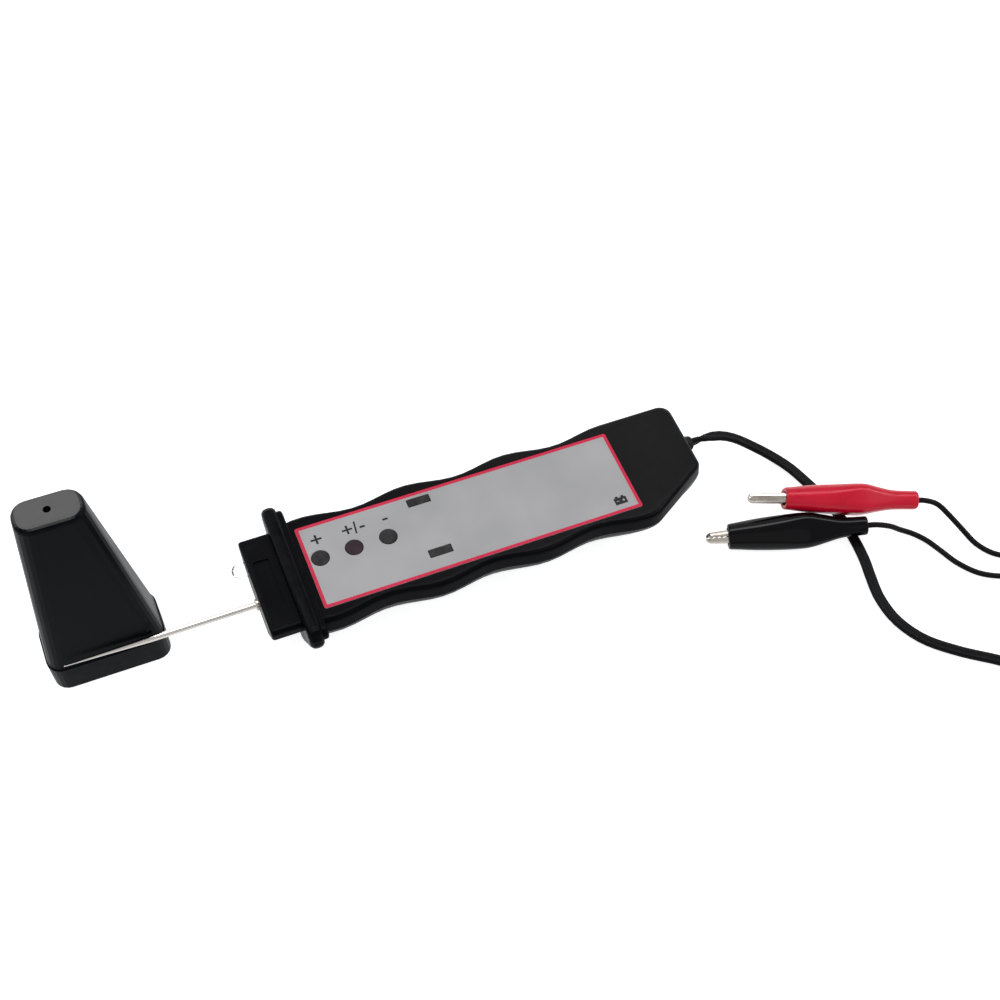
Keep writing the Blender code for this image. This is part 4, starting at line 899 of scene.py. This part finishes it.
# %% Label and windows
film = finish(
    "label_grey_film", (0.44, 0.433, 0.435), (0.53, 0.516, 0.511), 0.34, specular=0.28,
    grain=5000.0, blotch=55.0, bump=0.003, hair=0.02,
)
border_ink = finish(
    "border_red_ink", (0.72, 0.025, 0.075), (0.78, 0.032, 0.09), 0.4, specular=0.2, grain=6000.0, bump=0.004,
)
black_ink = finish(
    "sign_black_ink", (0.004, 0.004, 0.005), (0.009, 0.009, 0.01), 0.45, specular=0.2,
    grain=6000.0, bump=0.004,
)
film_ink = finish("sign_grey_ink", (0.48, 0.475, 0.47), (0.52, 0.515, 0.51), 0.4, grain=6000.0, bump=0.004)
window_grey = finish(
    "window_smoke_grey", (0.012, 0.0112, 0.0108), (0.040, 0.037, 0.036), 0.22, specular=0.16,
    grain=1200.0, blotch=420.0, bump=0.004, coat=0.03, coat_roughness=0.08,
)
window_warm = finish(
    "window_smoke_warm", (0.022, 0.0105, 0.0135), (0.042, 0.021, 0.026), 0.22, specular=0.16,
    grain=1200.0, blotch=420.0, bump=0.004, coat=0.03, coat_roughness=0.08,
)
wear(film, "front_label")
wear(border_ink, border.name)
wear(black_ink, signs.name, battery.name)
wear(film_ink, poles.name)
wear(window_grey, "positive_window", "negative_window", "upper_bar_window", "lower_bar_window")
wear(window_warm, "pulse_window")
print("label:", [made.name for made in (film, border_ink, black_ink, film_ink, window_grey, window_warm)])


# %% [markdown]
# ## Metals
# The needle is ground and polished, the jaws are pressed sheet with a warm nickel plate, the springs are dark
# steel wire, and the terminal inside is turned brass. All carry faint hairlines from their making.

# %% Needle, jaws, screws and terminal
ground_steel = finish(
    "needle_ground_steel", (0.50, 0.475, 0.45), (0.59, 0.565, 0.54), 0.17, metallic=1.0,
    grain=4000.0, bump=0.002, hair=0.05,
)
nickel = finish(
    "jaw_nickel_plate", (0.35, 0.31, 0.275), (0.47, 0.435, 0.395), 0.24, metallic=1.0,
    grain=2400.0, blotch=400.0, bump=0.006, rub_and_edge_light=0.5, rubbed_and_lit=(0.80, 0.77, 0.72), hair=0.06,
)
spring_steel = finish(
    "spring_dark_steel", (0.34, 0.34, 0.35), (0.44, 0.44, 0.45), 0.30, metallic=1.0,
    grain=3000.0, bump=0.004, hair=0.05,
)
zinc = finish(
    "screw_zinc_plate", (0.50, 0.50, 0.52), (0.60, 0.60, 0.62), 0.32, metallic=1.0,
    grain=3000.0, bump=0.006, hair=0.05,
)
brass = finish(
    "terminal_brass", (0.62, 0.43, 0.17), (0.74, 0.54, 0.25), 0.30, metallic=1.0,
    grain=3000.0, bump=0.004, hair=0.05,
)
wear(ground_steel, "probe_needle")
wear(nickel, "needle_collar", "work_light_leg_left", "work_light_leg_right")
wear(nickel, *(name + end for name in CLIPS for end in JAW_NODES))
wear(spring_steel, *(spring.name for spring in springs.values()))
wear(zinc, "case_screw_0", "case_screw_1")
wear(brass, "needle_terminal")
print("metals:", [made.name for made in (ground_steel, nickel, spring_steel, zinc, brass)])


# %% [markdown]
# ## Vinyl and rubber
# The boots are dipped in soft vinyl, which shines in long smooth highlights. The jackets of the cable and the
# leads are a duller rubber with a fine grain, and the tie is woven tape, the roughest surface here.

# %% Boots, cable and tie
red_vinyl = finish(
    "boot_red_vinyl", (0.68, 0.003, 0.026), (0.76, 0.006, 0.036), 0.30, specular=0.22,
    grain=1500.0, blotch=140.0, bump=0.012, coat=0.08, coat_roughness=0.16, dust_and_top_light=0.01,
)
black_vinyl = finish(
    "boot_black_vinyl", (0.0004, 0.0004, 0.0012), (0.0012, 0.0012, 0.0024), 0.22, specular=0.03,
    grain=1500.0, blotch=140.0, bump=0.012, coat=0.2, coat_roughness=0.06, dust_and_top_light=0.005,
)
jacket = finish(
    "cable_black_jacket", (0.0035, 0.0035, 0.004), (0.007, 0.007, 0.0078), 0.50, specular=0.07,
    grain=4500.0, bump=0.02, dust_and_top_light=0.02,
)
red_jacket = finish(
    "wire_red_jacket", (0.45, 0.012, 0.012), (0.55, 0.02, 0.02), 0.45, grain=4500.0, bump=0.01,
)
tape = finish(
    "tie_woven_tape", (0.012, 0.012, 0.013), (0.035, 0.035, 0.037), 0.85, specular=0.2,
    grain=6500.0, bump=0.12,
)
wear(red_vinyl, boots["red"].name)
wear(black_vinyl, boots["black"].name)
wear(jacket, twin_cable.name, splitter.name, *(lead.name for lead, _ in leads.values()), "inner_wire_black")
wear(red_jacket, "inner_wire_red")
wear(tape, coil_tie.name)
print("soft finishes:", [made.name for made in (red_vinyl, black_vinyl, jacket, red_jacket, tape)])


# %% [markdown]
# ## What is inside
# The board, its chips and its lamps only show when the case is opened, but a part that is taken apart should
# look right too. Solder mask and copper tracks come from a brick pattern, and the resistors carry bands.

# %% Board, chips, resistors and lamps
def paint_over(made, mask, colour):
    """Lays one more colour over a finish, where the mask is white."""
    tree = made.node_tree
    base = tree.nodes["Principled BSDF"].inputs["Base Color"]
    tree.links.new(mix_colour(tree, mask, base.links[0].from_socket, colour), base)
    return made


def board_finish():
    made = finish(
        "board_green_mask", (0.012, 0.10, 0.035), (0.018, 0.13, 0.045), 0.35, grain=3000.0, bump=0.01,
    )
    tree = made.node_tree
    tracks = tree.nodes.new("ShaderNodeTexBrick")
    tracks.offset = 0.37
    sizes = {"Scale": 140.0, "Mortar Size": 0.025, "Brick Width": 1.3, "Row Height": 0.42}
    for socket, value in sizes.items():
        tracks.inputs[socket].default_value = value
    tree.links.new(object_coordinates(tree), tracks.inputs["Vector"])
    return paint_over(made, tracks.outputs["Fac"], (0.03, 0.22, 0.07))


def banded_finish():
    made = finish(
        "resistor_banded_tan", (0.50, 0.38, 0.22), (0.58, 0.45, 0.28), 0.4, grain=3000.0, bump=0.004,
    )
    tree = made.node_tree
    waves = tree.nodes.new("ShaderNodeTexWave")
    waves.bands_direction = "Y"
    waves.inputs["Scale"].default_value = 320.0
    tree.links.new(object_coordinates(tree), waves.inputs["Vector"])
    return paint_over(made, map_range(tree, waves.outputs["Fac"], 0.86, 0.90), (0.16, 0.05, 0.02))


def clear_finish(name, colour):
    made = finish(name, colour, colour, 0.06, grain=900.0, bump=0.002)
    shader = made.node_tree.nodes["Principled BSDF"]
    shader.inputs["Transmission Weight"].default_value = 1.0
    shader.inputs["IOR"].default_value = 1.45
    return made


board_green, banded = board_finish(), banded_finish()
chip_black = finish(
    "chip_moulded_black", (0.012, 0.012, 0.012), (0.02, 0.02, 0.02), 0.6, grain=5000.0, bump=0.02,
)
lamp_red = finish("lamp_red_resin", (0.50, 0.02, 0.015), (0.60, 0.03, 0.02), 0.18, grain=900.0, bump=0.002)
lamp_green = finish("lamp_green_resin", (0.02, 0.35, 0.05), (0.03, 0.42, 0.06), 0.18, grain=900.0, bump=0.002)
clear_resin = clear_finish("lamp_clear_resin", (0.93, 0.95, 0.97))
wear(board_green, "circuit_board")
wear(banded, "resistor_0", "resistor_1", "resistor_2", "resistor_3")
wear(chip_black, "controller_chip", "driver_chip", "capacitor")
wear(lamp_red, "positive_led", "pulse_led", "upper_bar_led", "lower_bar_led")
wear(lamp_green, "negative_led")
wear(clear_resin, "work_light")
inner = (board_green, banded, chip_black, lamp_red, lamp_green, clear_resin)
print("inner finishes:", [made.name for made in inner])


# %% [markdown]
# ## Smooth shading for the solids
# The solids are made of flat facets. Shading them smooth across all but the sharp edges lets the round
# pieces look round, without a single vertex moved.

# %% Shade the solids
SHARP_ANGLE = math.radians(32)

for node in NODES.values():
    node.data.shade_smooth()
    node.data.set_sharp_from_angle(angle=SHARP_ANGLE)
print("solids shaded smooth:", len(NODES))


# %% [markdown]
# ## Table and light
# The photograph has a white ground and almost no shadow. The floor is a matt white sheet with a glow of its
# own, which only the camera, gloss and glass see. The camera sees white surroundings too. Gloss and glass see
# a grey room, with a bright wall behind the table and a strip light over it that draws the bright streaks on
# the boots. Three large lamps give the soft light itself.

# %% Floor
FLOOR_REACH = 0.42
FLOOR_DROP = 0.02 * MM  # the floor lies a hair below the pen's back
FLOOR_GLOW = 0.8

floor_mesh = bpy.data.meshes.new("floor")
corners = [(x * FLOOR_REACH, y * FLOOR_REACH, 0) for x, y in ((-1, -1), (1, -1), (1, 1), (-1, 1))]
floor_mesh.from_pydata(corners, [], [(0, 1, 2, 3)])
floor = bpy.data.objects.new("floor", floor_mesh)
floor.location.z = -FLOOR_DROP
bpy.context.scene.collection.objects.link(floor)

sheet_white = bpy.data.materials.new("floor_white")
sheet_white.use_nodes = True
tree = sheet_white.node_tree
shader = tree.nodes["Principled BSDF"]
shader.inputs["Base Color"].default_value = (0.82, 0.82, 0.82, 1)
shader.inputs["Roughness"].default_value = 0.9
shader.inputs["Specular IOR Level"].default_value = 0.1
shader.inputs["Emission Color"].default_value = (1, 1, 1, 1)
rays = tree.nodes.new("ShaderNodeLightPath")
seen = maths(tree, "MAXIMUM", rays.outputs["Is Camera Ray"], rays.outputs["Is Transmission Ray"])
seen = maths(tree, "MAXIMUM", seen, rays.outputs["Is Glossy Ray"])
tree.links.new(maths(tree, "MULTIPLY", seen, FLOOR_GLOW), shader.inputs["Emission Strength"])
floor_mesh.materials.append(sheet_white)
print("floor:", 2 * FLOOR_REACH, "m square")


# %% Surroundings
DAYLIGHT = (0.93, 0.96, 1.0, 1)
DAYLIGHT_STRENGTH = 0.56
ROOM = (0.62, 0.615, 0.61)
WINDOW_WALL = (2.2, 2.2, 2.2)
STRIP_LIGHT = (8.0, 8.0, 8.2)
STRIP_ACROSS = (0.322, 0.947)  # the level direction that runs across the strip
STRIP_FADES = (0.06, 0.12, 0.34, 0.42)  # it starts, is full, begins to fade and ends at these slants


def mix_shaders(tree, share, first, second):
    made = tree.nodes.new("ShaderNodeMixShader")
    for socket, source in zip(made.inputs, (share, first, second)):
        tree.links.new(source, socket)
    return made.outputs[0]


world = bpy.data.worlds.new("studio")
bpy.context.scene.world = world
world.use_nodes = True
tree = world.node_tree
ground = tree.nodes["Background"]
ground.inputs["Color"].default_value = DAYLIGHT
ground.inputs["Strength"].default_value = DAYLIGHT_STRENGTH
white = tree.nodes.new("ShaderNodeBackground")
white.inputs["Strength"].default_value = 1.0
rays = tree.nodes.new("ShaderNodeLightPath")
direction = tree.nodes.new("ShaderNodeTexCoord")
split = tree.nodes.new("ShaderNodeSeparateXYZ")
tree.links.new(direction.outputs["Generated"], split.inputs[0])
low = map_range(tree, split.outputs["Z"], 0.55, 0.15)
behind = map_range(tree, split.outputs["Y"], 0.25, 0.75)
room = mix_colour(tree, maths(tree, "MULTIPLY", low, behind, clamp=True), ROOM, WINDOW_WALL)
leaning = maths(tree, "MULTIPLY", split.outputs["Y"], STRIP_ACROSS[1])
sideways = maths(tree, "MULTIPLY_ADD", split.outputs["X"], STRIP_ACROSS[0], leaning)
slant = maths(tree, "DIVIDE", sideways, maths(tree, "MAXIMUM", split.outputs["Z"], 0.05))
starts, full, fades, ends = STRIP_FADES
strip = maths(tree, "MULTIPLY", map_range(tree, slant, starts, full), map_range(tree, slant, ends, fades))
room = mix_colour(tree, strip, room, STRIP_LIGHT)
mirrored = tree.nodes.new("ShaderNodeBackground")
tree.links.new(room, mirrored.inputs["Color"])
reflected = maths(tree, "MAXIMUM", rays.outputs["Is Glossy Ray"], rays.outputs["Is Transmission Ray"])
around = mix_shaders(tree, reflected, ground.outputs[0], mirrored.outputs[0])
around = mix_shaders(tree, rays.outputs["Is Camera Ray"], around, white.outputs[0])
tree.links.new(around, tree.nodes["World Output"].inputs["Surface"])
print("surroundings:", world.name)


# %% Lamps
LAMPS = [  # name, place, aim, size in metres, power in watts
    ("overhead", (-0.10, 0.65, 0.95), (0.0, 0.0, 0.0), (1.2, 0.9), 2.6),
    ("right_side", (0.75, -0.25, 0.45), (0.0, 0.0, 0.03), (0.6, 0.8), 1.0),
    ("fill", (-0.45, -0.75, 0.8), (0.0, 0.0, 0.0), (1.0, 1.0), 1.0),
]


def soft_lamp(name, place, aim, size, power):
    data = bpy.data.lights.new(name, "AREA")
    data.shape = "RECTANGLE"
    data.size, data.size_y = size
    data.energy = power
    made = bpy.data.objects.new(name, data)
    made.location = place
    made.rotation_mode = "QUATERNION"
    made.rotation_quaternion = (Vector(aim) - Vector(place)).to_track_quat("-Z", "Y")
    bpy.context.scene.collection.objects.link(made)


for lamp in LAMPS:
    soft_lamp(*lamp)
bpy.context.scene.view_settings.view_transform = "Standard"
print("lamps:", [lamp[0] for lamp in LAMPS])


# %% [markdown]
# ## Last update
# The dressed pen has to stay as big as the solids say. The last line brings the scene up to date.

# %% Bring the scene up to date
bpy.context.view_layer.update()
